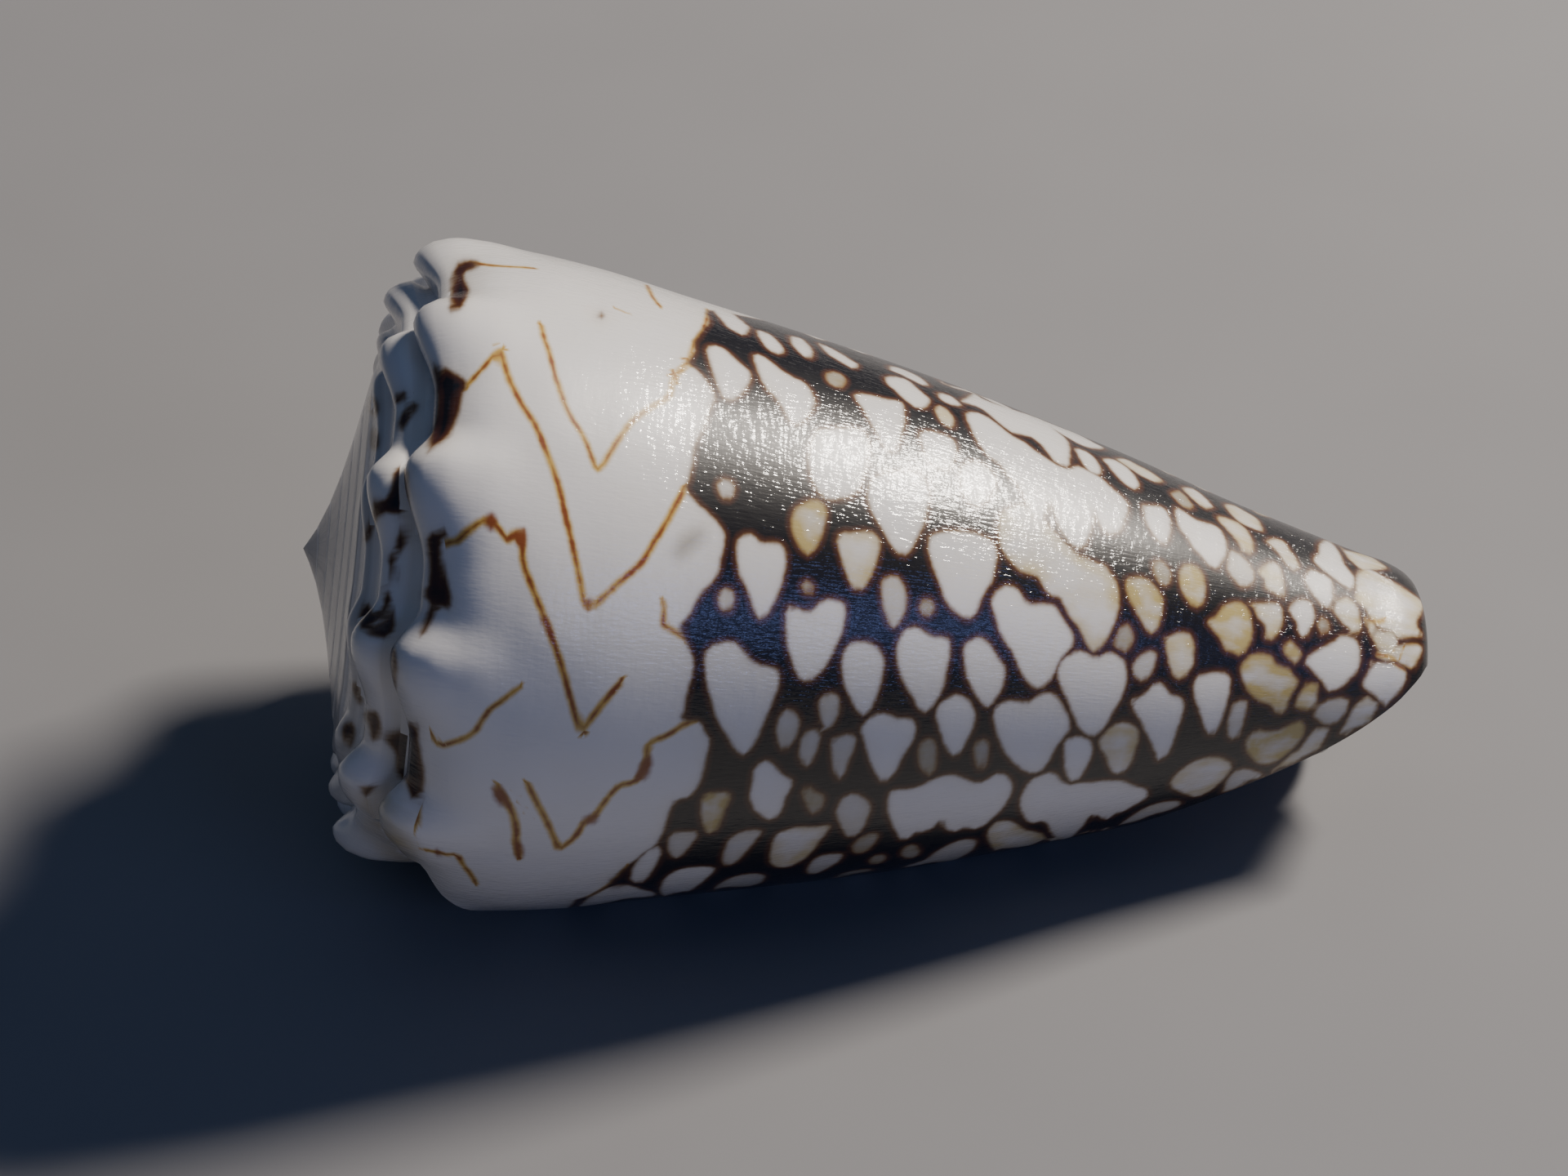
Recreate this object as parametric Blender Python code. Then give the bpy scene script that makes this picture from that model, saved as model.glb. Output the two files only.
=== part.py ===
"""Cone shell lying on its side, apex toward -X and front end toward +X.

One closed body: a spiral of whorls with a row of knobs on every shoulder, a
long body whorl drawn down to the front end, and the narrow aperture left open
between the thin lip and the whorl below it.
"""
import math

import bmesh
import bpy
from mathutils import Matrix, Vector

# Overall growth of the spiral
SHOULDER_RADIUS = 0.0210
WHORLS = 9.5
GROWTH_POWER = 1.25
WHORLS_DRAWN = 8.6

# Depth below the apex, measured along the axis
LENGTH = 0.0758
SPIRE_SLOPE = 0.16
SPIRE_TIP_RISE = 0.0014
SPIRE_TIP_RADIUS = 0.0030
SPIRE_RIM_DROP = 0.0034
SPIRE_RIM_POWER = 11
FRONT_SHORTENING = 0.07
FRONT_SHORTENING_POWER = 2.2
COLUMELLA_DEPTH = 0.0735

# Ramp of a whorl from its suture to its shoulder:
# share of the whorl width, drop below the shoulder, lift and push of a knob
RAMP = (
    (0.36, 0.00035, 0.0, 0.0),
    (0.58, 0.00045, 0.15, 0.0),
    (0.80, 0.00015, 0.65, 0.10),
    (1.00, 0.00000, 1.0, 0.45),
)
SEAM_OUT = 0.0006
SEAM_DROP = 0.0012
SEAM_LIFT = 0.15
SEAM_PUSH = 0.35

# Side of the body whorl at the lip:
# share of the way from shoulder to front end, radius
SIDE = (
    (0.045, 0.02225),
    (0.090, 0.02250),
    (0.160, 0.02190),
    (0.250, 0.02065),
    (0.360, 0.01915),
    (0.480, 0.01735),
    (0.600, 0.01515),
    (0.710, 0.01290),
    (0.810, 0.01067),
    (0.890, 0.00910),
    (0.945, 0.00805),
    (0.975, 0.00755),
    (0.992, 0.00690),
    (1.000, 0.00530),
    (1.003, 0.00260),
)
SIDE_PUSH = 0.15

# Knobs on the shoulder
KNOBS_PER_WHORL = 11
KNOB_HEIGHT = 0.0014
KNOB_FALL = 0.72
KNOB_SHARPNESS = 1.3
KNOB_OFFSET_COLUMNS = 2

# Wear of the oldest whorls, in turns before the lip
WEAR_START = 4.5
WEAR_END = 2.0
WORN_RELIEF = 0.3

# Lip and aperture
LIP_WALL = 0.0009
BODY_WALL = 0.0013
WALL_GROWTH_COLUMNS = 4
ROOF_INSET = 0.0010
ROOF_DROP = 0.0015
LIP_ADVANCE = math.radians(34.5)
LIP_ADVANCE_SHARE = 0.14
LIP_CUT_START = 0.66
LIP_CUT = math.radians(76)
LIP_CUT_END = math.radians(30)
LIP_CUT_END_POWER = 8

# Rest on the ground: turn about the axis, then slope of the axis
LIP_ANGLE = math.radians(247.0)
AXIS_SLOPE = math.radians(11.3)

# Facet under the body whorl that the shell rests on: its place in columns, and
# how much wider it is than the others, tapering off over some columns
REST_PLACE = 44.5
REST_WIDENING = 0.45
REST_TAPER = 3.0

# Mesh density
COLUMNS_PER_KNOB = 5
COLUMNS = KNOBS_PER_WHORL * COLUMNS_PER_KNOB
APERTURE_COLUMNS = 20
COLUMNS_DRAWN = round(WHORLS_DRAWN * COLUMNS)
STEP = 2 * math.pi / COLUMNS

# Rows of a section
SEAM = len(RAMP) + 1
ROOF = SEAM + 1
FRONT = SEAM + len(SIDE)

# Surface
SHARP_EDGE_ANGLE = math.radians(40)
SHELL_COLOUR = (0.72, 0.67, 0.60, 1.0)
SHELL_ROUGHNESS = 0.25


def growth(age):
    """Size of the spiral, as a share of its size at the lip, AGE turns before it."""
    return max(0.0, 1.0 - age / WHORLS) ** GROWTH_POWER


def shoulder_depth(radius):
    """Depth of a shoulder of the given radius below the apex."""
    rise = SPIRE_TIP_RISE * (1.0 - math.exp(-radius / SPIRE_TIP_RADIUS))
    rim = SPIRE_RIM_DROP * (radius / SHOULDER_RADIUS) ** SPIRE_RIM_POWER
    return SPIRE_SLOPE * radius + rise + rim


def front_depth(age):
    """Depth of the front end of a whorl, AGE turns before the lip."""
    return LENGTH * (1.0 - FRONT_SHORTENING * max(0.0, age) ** FRONT_SHORTENING_POWER)


def relief(age):
    """Share of the relief that wear has left, AGE turns before the lip."""
    return min(1.0, max(0.0, (WEAR_START - age) / (WEAR_START - WEAR_END)))


def knob(age):
    """Height of the shoulder's knobs: steep on the older side, then a long fall."""
    offset = KNOB_OFFSET_COLUMNS / COLUMNS
    place = ((offset - age) * KNOBS_PER_WHORL) % 1.0
    if place < KNOB_FALL:
        phase = 0.5 * place / KNOB_FALL
    else:
        phase = 0.5 + 0.5 * (place - KNOB_FALL) / (1.0 - KNOB_FALL)
    wave = 0.5 + 0.5 * math.cos(2 * math.pi * phase)
    return KNOB_HEIGHT * relief(age) * wave ** KNOB_SHARPNESS


def section_point(age, row, knobbed=True):
    """Radius and depth of one row of the section that lies AGE turns back."""
    size = growth(age)
    crest = SHOULDER_RADIUS * size
    level = shoulder_depth(crest)
    lump = knob(age) * size if knobbed else 0.0
    step = size * (WORN_RELIEF + (1.0 - WORN_RELIEF) * relief(age))
    if row == SEAM:
        radius = crest + SEAM_OUT * step + SEAM_PUSH * lump
        return radius, level + SEAM_DROP * step - SEAM_LIFT * lump
    if row < SEAM:
        share, drop, lift, push = RAMP[row - 1]
        inner = SHOULDER_RADIUS * growth(age + 1)
        radius = inner + share * (crest - inner) + push * lump
        return radius, level + drop * step - lift * lump
    share, radius = SIDE[row - ROOF]
    radius *= size
    if row == ROOF:
        radius += SIDE_PUSH * lump
    return radius, level + share * (front_depth(age) - level)


def wall_point(age, row, wall):
    """Radius and depth on the inner face of the wall behind one row of the side."""
    radius, depth = section_point(age, row, False)
    above = section_point(age, row - 1, False)
    below = section_point(age, min(row + 1, FRONT), False)
    run = Vector((below[0] - above[0], below[1] - above[1])).normalized()
    return radius - wall * run.y, depth + wall * run.x


def lip_cut(row):
    """Angle by which the lip draws back at one row, measured from its upper corner."""
    if row < ROOF:
        return 0.0
    share = SIDE[row - ROOF][0]
    advance = LIP_ADVANCE * min(1.0, share / LIP_ADVANCE_SHARE)
    part = max(0.0, (share - LIP_CUT_START) / (1.0 - LIP_CUT_START))
    return LIP_CUT * part + LIP_CUT_END * part ** LIP_CUT_END_POWER - advance


def widened(column):
    """Column moved away from the facet that the shell rests on, to widen it."""
    offset = column - REST_PLACE
    share = max(0.0, 1.0 - (abs(offset) - 0.5) / REST_TAPER)
    return column + math.copysign(REST_WIDENING * share, offset)


def column_age(column, row):
    """Age in turns of a row in a column, sheared so that column 0 is the lip."""
    shear = lip_cut(row) * max(0.0, 1.0 - column / APERTURE_COLUMNS)
    return (widened(column) * STEP + shear) / (2 * math.pi)


def place(age, radius, depth):
    """Point in space for a radius and a depth, AGE turns before the lip."""
    angle = LIP_ANGLE + 2 * math.pi * age
    return Vector((radius * math.cos(angle), radius * math.sin(angle), -depth))


def outer_faces(name):
    """Faces of the spire, of the body whorl and of the whorl inside the aperture."""
    faces = []
    for column in range(COLUMNS_DRAWN):
        for row in range(SEAM):
            faces.append((name(column, row), name(column, row + 1),
                          name(column + 1, row + 1), name(column + 1, row)))
    for column in range(COLUMNS):
        for row in range(SEAM, FRONT):
            faces.append((name(column, row), name(column, row + 1),
                          name(column + 1, row + 1), name(column + 1, row)))
    for column in range(COLUMNS, COLUMNS + APERTURE_COLUMNS):
        for row in range(ROOF, FRONT):
            faces.append((name(column, row), name(column, row + 1),
                          name(column + 1, row + 1), name(column + 1, row)))
    return faces


def inner_faces(name, inside):
    """Faces of the wall's inner side, of its roof and of the closed far end."""
    faces = []
    for column in range(APERTURE_COLUMNS):
        for row in range(SEAM, FRONT):
            faces.append((inside(column, row), inside(column + 1, row),
                          inside(column + 1, row + 1), inside(column, row + 1)))
        older = COLUMNS + column
        faces.append((inside(column, SEAM), name(older, ROOF),
                      name(older + 1, ROOF), inside(column + 1, SEAM)))
    last = APERTURE_COLUMNS
    older = COLUMNS + last
    faces.append((inside(last, SEAM), name(older, ROOF), inside(last, ROOF)))
    for row in range(ROOF, FRONT):
        faces.append((inside(last, row), name(older, row),
                      name(older, row + 1), inside(last, row + 1)))
    return faces


def edge_faces(name, inside, columella):
    """Faces of the lip's edge, of the rim at the front end and of the columella."""
    roof = inside(0, SEAM)
    faces = [(name(0, 0), name(0, 1), roof, name(COLUMNS, ROOF))]
    for row in range(1, SEAM):
        faces.append((name(0, row), name(0, row + 1), roof))
    for row in range(SEAM, FRONT):
        faces.append((name(0, row), name(0, row + 1),
                      inside(0, row + 1), inside(0, row)))
    for column in range(APERTURE_COLUMNS):
        faces.append((name(column, FRONT), name(column + 1, FRONT),
                      inside(column + 1, FRONT), inside(column, FRONT)))
    last = APERTURE_COLUMNS
    ring = [inside(last, FRONT)]
    for column in range(last, COLUMNS + last + 1):
        ring.append(name(column, FRONT))
    for index, here in enumerate(ring):
        following = ring[(index + 1) % len(ring)]
        faces.append((here, following, columella))
    return faces


def shell_mesh():
    """Mesh of the whole shell in its own frame: axis on Z, apex at the origin."""
    points = [Vector((0.0, 0.0, 0.0)), Vector((0.0, 0.0, -COLUMELLA_DEPTH))]
    outer = {}
    inner = {}

    def add(point):
        points.append(point)
        return len(points) - 1

    for column in range(COLUMNS_DRAWN + 1):
        last_row = SEAM
        if column <= COLUMNS + APERTURE_COLUMNS:
            last_row = FRONT
        for row in range(1, last_row + 1):
            age = column_age(column, row)
            outer[column, row] = add(place(age, *section_point(age, row)))
    for column in range(APERTURE_COLUMNS + 1):
        growing = min(1.0, column / WALL_GROWTH_COLUMNS)
        wall = LIP_WALL + (BODY_WALL - LIP_WALL) * growing
        for row in range(ROOF, FRONT + 1):
            age = column_age(column, row)
            inner[column, row] = add(place(age, *wall_point(age, row, wall)))
        age = column_age(column, SEAM)
        crest = SHOULDER_RADIUS * growth(age)
        roof = (crest - ROOF_INSET, shoulder_depth(crest) + ROOF_DROP)
        inner[column, SEAM] = add(place(age, *roof))

    def name(column, row):
        if row > 0:
            return outer[column, row]
        return outer.get((column + COLUMNS, SEAM), 0)

    def inside(column, row):
        return inner[column, row]

    faces = outer_faces(name) + inner_faces(name, inside) + edge_faces(name, inside, 1)
    end = [0] + [outer[COLUMNS_DRAWN, row] for row in range(1, SEAM + 1)]
    faces.append(tuple(end))
    mesh = bpy.data.meshes.new("shell")
    mesh.from_pydata([tuple(point) for point in points], [], faces)
    return mesh


def clean(mesh):
    """Turn the faces outward, and drop edges without length and loose points."""
    work = bmesh.new()
    work.from_mesh(mesh)
    bmesh.ops.dissolve_degenerate(work, dist=1e-6, edges=work.edges)
    loose = [vert for vert in work.verts if not vert.link_faces]
    bmesh.ops.delete(work, geom=loose, context="VERTS")
    bmesh.ops.recalc_face_normals(work, faces=work.faces)
    if work.calc_volume(signed=True) < 0:
        bmesh.ops.reverse_faces(work, faces=work.faces)
    work.to_mesh(mesh)
    work.free()


def lay_down(mesh):
    """Lay the shell on its side and centre it over the origin, standing on z = 0."""
    apex = Vector((-math.cos(AXIS_SLOPE), 0.0, math.sin(AXIS_SLOPE)))
    up = Vector((math.sin(AXIS_SLOPE), 0.0, math.cos(AXIS_SLOPE)))
    across = Vector((0.0, 1.0, 0.0))
    turn = Matrix((up, across, apex)).transposed()
    mesh.transform(turn.to_4x4())
    low = Vector([min(vert.co[axis] for vert in mesh.vertices) for axis in range(3)])
    high = Vector([max(vert.co[axis] for vert in mesh.vertices) for axis in range(3)])
    middle = (low + high) / 2
    mesh.transform(Matrix.Translation((-middle.x, -middle.y, -low.z)))


def shell_material():
    """Glossy pale shell."""
    material = bpy.data.materials.new("shell")
    material.use_nodes = True
    surface = material.node_tree.nodes["Principled BSDF"]
    surface.inputs["Base Color"].default_value = SHELL_COLOUR
    surface.inputs["Roughness"].default_value = SHELL_ROUGHNESS
    material.diffuse_color = SHELL_COLOUR
    return material


def main():
    """Build the shell in a collection of its own."""
    for thing in list(bpy.data.objects):
        bpy.data.objects.remove(thing, do_unlink=True)
    mesh = shell_mesh()
    clean(mesh)
    lay_down(mesh)
    mesh.materials.append(shell_material())
    mesh.shade_smooth()
    mesh.set_sharp_from_angle(angle=SHARP_EDGE_ANGLE)
    shell = bpy.data.objects.new("shell", mesh)
    collection = bpy.data.collections.new("cone_shell")
    bpy.context.scene.collection.children.link(collection)
    collection.objects.link(shell)


main()
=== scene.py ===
"""Cone shell lying on a pale floor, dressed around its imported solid.

The shell is one piece: a knobbed spire, a body whorl drawn down to the front
end, and a narrow aperture behind a thin lip. Its markings are white tents on a
blackish brown ground, and a white shoulder zone with fine zigzag threads.
"""

import logging
import math
from dataclasses import dataclass
from enum import Enum
from typing import ClassVar

import bmesh
import bpy
import numpy as np
from mathutils import Matrix, Vector
from mathutils.bvhtree import BVHTree


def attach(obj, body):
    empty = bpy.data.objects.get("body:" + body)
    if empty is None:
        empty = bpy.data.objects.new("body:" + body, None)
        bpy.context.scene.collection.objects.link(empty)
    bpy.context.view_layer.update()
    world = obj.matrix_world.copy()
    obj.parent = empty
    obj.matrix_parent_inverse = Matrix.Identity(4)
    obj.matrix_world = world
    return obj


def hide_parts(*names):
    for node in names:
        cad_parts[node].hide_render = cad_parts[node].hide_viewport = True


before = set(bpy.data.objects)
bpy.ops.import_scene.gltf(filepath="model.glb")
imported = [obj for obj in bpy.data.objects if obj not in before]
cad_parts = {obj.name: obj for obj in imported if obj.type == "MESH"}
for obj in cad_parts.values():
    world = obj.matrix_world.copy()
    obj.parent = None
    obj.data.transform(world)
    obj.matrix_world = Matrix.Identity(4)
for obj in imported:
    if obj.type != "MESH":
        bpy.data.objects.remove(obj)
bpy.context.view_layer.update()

TURN = 2 * math.pi
MM = 0.001
# Guards against a division by zero, and against ties between two equal distances.
TINY = 1e-12
TIE = 1e-9
LOG = logging.getLogger("cone_shell")

Socket = bpy.types.NodeSocket
Tree = bpy.types.NodeTree
Array = np.ndarray

# Fields that the markings lay on the mesh and the finish reads.
TENT_SHEETS = ("tent_0", "tent_1", "tent_2", "tent_3")
SHADER_FIELDS = (
    "zone", *TENT_SHEETS, "patch", "knot", "thread_side", "thread_gap", "thread_half",
    "warm", "dim", "wear", "around", "along",
)


def from_hex(colour: str) -> tuple[float, float, float, float]:
    """Turn an sRGB hex colour into linear red, green, blue and alpha.

    Args:
        colour: six hex digits, such as "E8E2D6".

    Returns:
        The four linear values that a shader socket takes.
    """
    values = []
    for start in (0, 2, 4):
        part = int(colour[start:start + 2], 16) / 255
        values.append(part / 12.92 if part <= 0.04045 else ((part + 0.055) / 1.055) ** 2.4)
    return (values[0], values[1], values[2], 1.0)


def add_node(tree: Tree, kind: str, settings: dict | None = None,
             links: dict | None = None, output: str | int = 0) -> Socket:
    """Add a shader node with its settings and its inputs.

    Args:
        tree: the material's node tree.
        kind: the node's type name without its leading "ShaderNode".
        settings: properties of the node to set.
        links: an input's name or number, with a value or an output to link to it.
        output: name or number of the output to give back.

    Returns:
        That output of the new node.
    """
    node = tree.nodes.new(f"ShaderNode{kind}")
    for name, value in (settings or {}).items():
        setattr(node, name, value)
    for name, value in (links or {}).items():
        if isinstance(value, Socket):
            tree.links.new(value, node.inputs[name])
        else:
            node.inputs[name].default_value = value
    return node.outputs[output]


def clouded(name: str, first: str, second: str, cloud_mm: float, gloss: float,
            ior: float) -> bpy.types.Material:
    """Make a plain material whose colour drifts softly between two hex values.

    Args:
        name: the material's name.
        first: one colour.
        second: the other colour.
        cloud_mm: size of the soft clouds, in millimetres.
        gloss: its roughness.
        ior: its index of refraction.

    Returns:
        The material.
    """
    material = bpy.data.materials.new(name)
    material.use_nodes = True
    tree = material.node_tree
    surface = tree.nodes["Principled BSDF"]
    place = add_node(tree, "TexCoord", output="Object")
    cloud = add_node(tree, "TexNoise", links={"Vector": place, "Scale": 1.0 / (cloud_mm * MM)})
    mixed = add_node(tree, "Mix", {"data_type": "RGBA"}, {
        0: cloud, 6: from_hex(first), 7: from_hex(second)}, 2)
    tree.links.new(mixed, surface.inputs["Base Color"])
    surface.inputs["Roughness"].default_value = gloss
    surface.inputs["IOR"].default_value = ior
    return material


@dataclass(frozen=True)
class Spiral:
    """Growth of the spiral: metres at the lip, and ages in turns before the lip.

    The knobs are 11 to a turn. Wear has taken them off the older whorls.
    """

    shoulder_radius: float = 0.0210
    whorls: float = 9.5
    power: float = 1.25
    drawn: float = 8.6
    length: float = 0.0758
    slope: float = 0.16
    tip_rise: float = 0.0014
    tip_radius: float = 0.0030
    rim_drop: float = 0.0034
    rim_power: float = 11
    front_shortening: float = 0.07
    front_power: float = 2.2
    wear_start: float = 3.3
    wear_end: float = 1.2
    knobs: int = 11
    knob_height: float = 0.0018
    knob_fall: float = 0.52
    knob_rise: float = 0.72
    knob_sharpness: float = 1.0
    knob_offset: float = 2 / 55

    def growth(self, age: Array) -> Array:
        """Size of the spiral as a share of its size at the lip."""
        return np.maximum(0.0, 1.0 - age / self.whorls) ** self.power

    def shoulder_depth(self, radius: Array) -> Array:
        """Depth of a shoulder below the apex.

        Args:
            radius: the shoulder's radius, in metres.

        Returns:
            Metres below the apex.
        """
        rise = self.tip_rise * (1.0 - np.exp(-radius / self.tip_radius))
        rim = self.rim_drop * (radius / self.shoulder_radius) ** self.rim_power
        return self.slope * radius + rise + rim

    def front_depth(self, age: Array) -> Array:
        """Depth of the front end of a whorl."""
        shortening = self.front_shortening * np.maximum(0.0, age) ** self.front_power
        return self.length * (1.0 - shortening)

    def relief(self, age: Array) -> Array:
        """Share of the relief that wear has left."""
        return np.clip((self.wear_start - age) / (self.wear_start - self.wear_end), 0.0, 1.0)

    def knob_phase(self, age: Array) -> Array:
        """Place between two knobs: 0 on a crest, growing toward the lip."""
        return ((self.knob_offset - age) * self.knobs) % 1.0

    def knob(self, age: Array) -> Array:
        """Height of the knobs: a blunt crest, a hollow, and a steep older side.

        Args:
            age: turns before the lip.

        Returns:
            Metres at the size of the lip.
        """
        place = self.knob_phase(age)
        fall = 0.5 * np.minimum(1.0, place / self.knob_fall)
        climb = 0.5 + 0.5 * (place - self.knob_rise) / (1.0 - self.knob_rise)
        phase = np.where(place < self.knob_rise, fall, climb)
        wave = 0.5 + 0.5 * np.cos(TURN * phase)
        return self.knob_height * self.relief(age) * wave ** self.knob_sharpness


@dataclass(frozen=True)
class Section:
    """Outline of a whorl from its suture over the shoulder to the front end.

    A row of the ramp holds its share of the way from the suture to the crest, its drop
    in metres, and the shares of a knob's height that lift it and push it outward. A row
    of the side holds its share of the way to the front end and its radius in metres.
    """

    spiral: Spiral = Spiral()
    ramp: tuple = (
        (0.36, 0.00030, 0.22, 0.0),
        (0.58, 0.00035, 0.58, 0.05),
        (0.80, 0.00020, 0.90, 0.20),
        (0.97, 0.00040, 0.80, 0.50),
    )
    seam_out: float = 0.0006
    seam_drop: float = 0.0016
    seam_lift: float = 0.42
    seam_push: float = 0.65
    side: tuple = (
        (0.045, 0.02225), (0.090, 0.02250), (0.160, 0.02190), (0.250, 0.02065),
        (0.360, 0.01915), (0.480, 0.01735), (0.600, 0.01515), (0.710, 0.01290),
        (0.810, 0.01067), (0.890, 0.00910), (0.945, 0.00805), (0.975, 0.00755),
        (0.992, 0.00690), (1.000, 0.00530), (1.003, 0.00260),
    )
    side_push: float = 0.35
    worn_relief: float = 0.02

    @property
    def seam(self) -> int:
        """Row of the shoulder's edge."""
        return len(self.ramp) + 1

    @property
    def front(self) -> int:
        """Row of the front end."""
        return self.seam + len(self.side)

    def control(self, age: Array, row: int) -> Array:
        """Place of one control row.

        Args:
            age: turns before the lip.
            row: whole row number, 0 at the suture.

        Returns:
            Radius and depth in the last axis.
        """
        if row == 0:
            return self.control(age + 1.0, self.seam)
        spiral = self.spiral
        size = spiral.growth(age)
        crest = spiral.shoulder_radius * size
        level = spiral.shoulder_depth(crest)
        lump = spiral.knob(age) * size
        step = size * (self.worn_relief + (1.0 - self.worn_relief) * spiral.relief(age))
        if row == self.seam:
            radius = crest + self.seam_out * step + self.seam_push * lump
            depth = level + self.seam_drop * step - self.seam_lift * lump
        elif row < self.seam:
            share, drop, lift, push = self.ramp[row - 1]
            inner = spiral.shoulder_radius * spiral.growth(age + 1)
            radius = inner + share * (crest - inner) + push * lump
            start = spiral.shoulder_depth(inner)
            cone = (1.0 - share) * (1.0 - spiral.relief(age)) * (start - level)
            depth = level + cone + drop * step - lift * lump
        else:
            share, widest = self.side[row - self.seam - 1]
            radius = widest * size
            if row == self.seam + 1:
                radius = radius + self.side_push * lump
            depth = level + share * (spiral.front_depth(age) - level)
        return np.stack([radius, depth], axis=-1)

    def point(self, age: Array, row: float) -> Array:
        """Place on the smooth curve through the control rows.

        Args:
            age: turns before the lip.
            row: row number, with the share of the way to the next row.

        Returns:
            Radius and depth in the last axis.
        """
        lower = min(int(math.floor(row)), self.front - 1)
        share = row - lower
        here = self.control(age, lower)
        following = self.control(age, lower + 1)
        chord = following - here
        length = np.linalg.norm(chord, axis=-1, keepdims=True) + TIE
        straight = chord / length
        start, end = straight, straight
        if lower > 0:
            start = self.tangent(self.control(age, lower - 1), here, straight, length)
        if lower + 2 <= self.front:
            end = -self.tangent(self.control(age, lower + 2), following, -straight, length)
        bend_start = share * (1 - share) ** 2 * length * start
        bend_end = share ** 2 * (share - 1) * length * end
        blend = share * share * (3 - 2 * share)
        return here * (1 - blend) + following * blend + bend_start + bend_end

    @staticmethod
    def tangent(before: Array, here: Array, straight: Array,
                length: Array) -> Array:
        """Direction of the curve at a control row, weighted by the chords beside it.

        Args:
            before: place of the row before it.
            here: place of the row.
            straight: direction of the chord after it.
            length: length of that chord.

        Returns:
            The direction.
        """
        chord = here - before
        other = np.linalg.norm(chord, axis=-1, keepdims=True) + TIE
        return (chord / other * length + straight * other) / (other + length)

    def share_of(self, row: float) -> float:
        """Share of the way from the shoulder to the front end at a row of the side."""
        shares = [0.0] + [share for share, _ in self.side]
        return float(np.interp(row - self.seam, range(len(shares)), shares))


@dataclass(frozen=True)
class Lip:
    """Lip, wall and roof of the aperture: metres, and radians about the axis."""

    section: Section = Section()
    angle: float = math.radians(247.0)
    advance: float = math.radians(34.5)
    advance_share: float = 0.14
    cut_start: float = 0.66
    cut: float = math.radians(76)
    cut_end: float = math.radians(30)
    cut_end_power: float = 8
    reach: float = 20 / 55
    lip_wall: float = 0.0009
    body_wall: float = 0.0013
    wall_growth: float = 4 / 55
    roof_inset: float = 0.0010
    roof_drop: float = 0.0015
    slope_step: float = 0.25

    def age(self, turns: Array, row: float) -> Array:
        """Age of a row, sheared so that zero turns is the lip's edge.

        Args:
            turns: turns back from the lip's edge.
            row: row number.

        Returns:
            Turns of age.
        """
        if row <= self.section.seam:
            return turns
        share = self.section.share_of(row)
        advance = self.advance * min(1.0, share / self.advance_share)
        part = max(0.0, (share - self.cut_start) / (1.0 - self.cut_start))
        angle = self.cut * part + self.cut_end * part ** self.cut_end_power - advance
        return turns + angle / TURN * np.maximum(0.0, 1.0 - turns / self.reach)

    def place(self, age: Array, point: Array) -> Array:
        """Turn radius and depth into a point: axis on Z, apex at the origin.

        Args:
            age: turns before the lip.
            point: radius and depth in the last axis.

        Returns:
            The points.
        """
        angle = self.angle + TURN * age
        radius, depth = point[..., 0], point[..., 1]
        return np.stack([radius * np.cos(angle), radius * np.sin(angle), -depth], axis=-1)

    def wall_point(self, turns: Array, row: float) -> Array:
        """Find a place on the inner face of the wall.

        Args:
            turns: turns back from the lip's edge.
            row: row number.

        Returns:
            Radius and depth in the last axis.
        """
        age = self.age(turns, row)
        above = self.section.point(age, row - self.slope_step)
        below = self.section.point(age, min(row + self.slope_step, self.section.front))
        run = below - above
        run = run / np.linalg.norm(run, axis=-1, keepdims=True)
        growing = np.minimum(1.0, turns / self.wall_growth)
        wall = self.lip_wall + (self.body_wall - self.lip_wall) * growing
        normal = np.stack([-run[..., 1], run[..., 0]], axis=-1)
        return self.section.point(age, row) + normal * wall[..., None]

    def roof_point(self, turns: Array) -> Array:
        """Place of the aperture's upper corner.

        Args:
            turns: turns back from the lip's edge.

        Returns:
            Radius and depth in the last axis.
        """
        crest = self.section.spiral.shoulder_radius * self.section.spiral.growth(turns)
        depth = self.section.spiral.shoulder_depth(crest) + self.roof_drop
        return np.stack([crest - self.roof_inset, depth], axis=-1)


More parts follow.
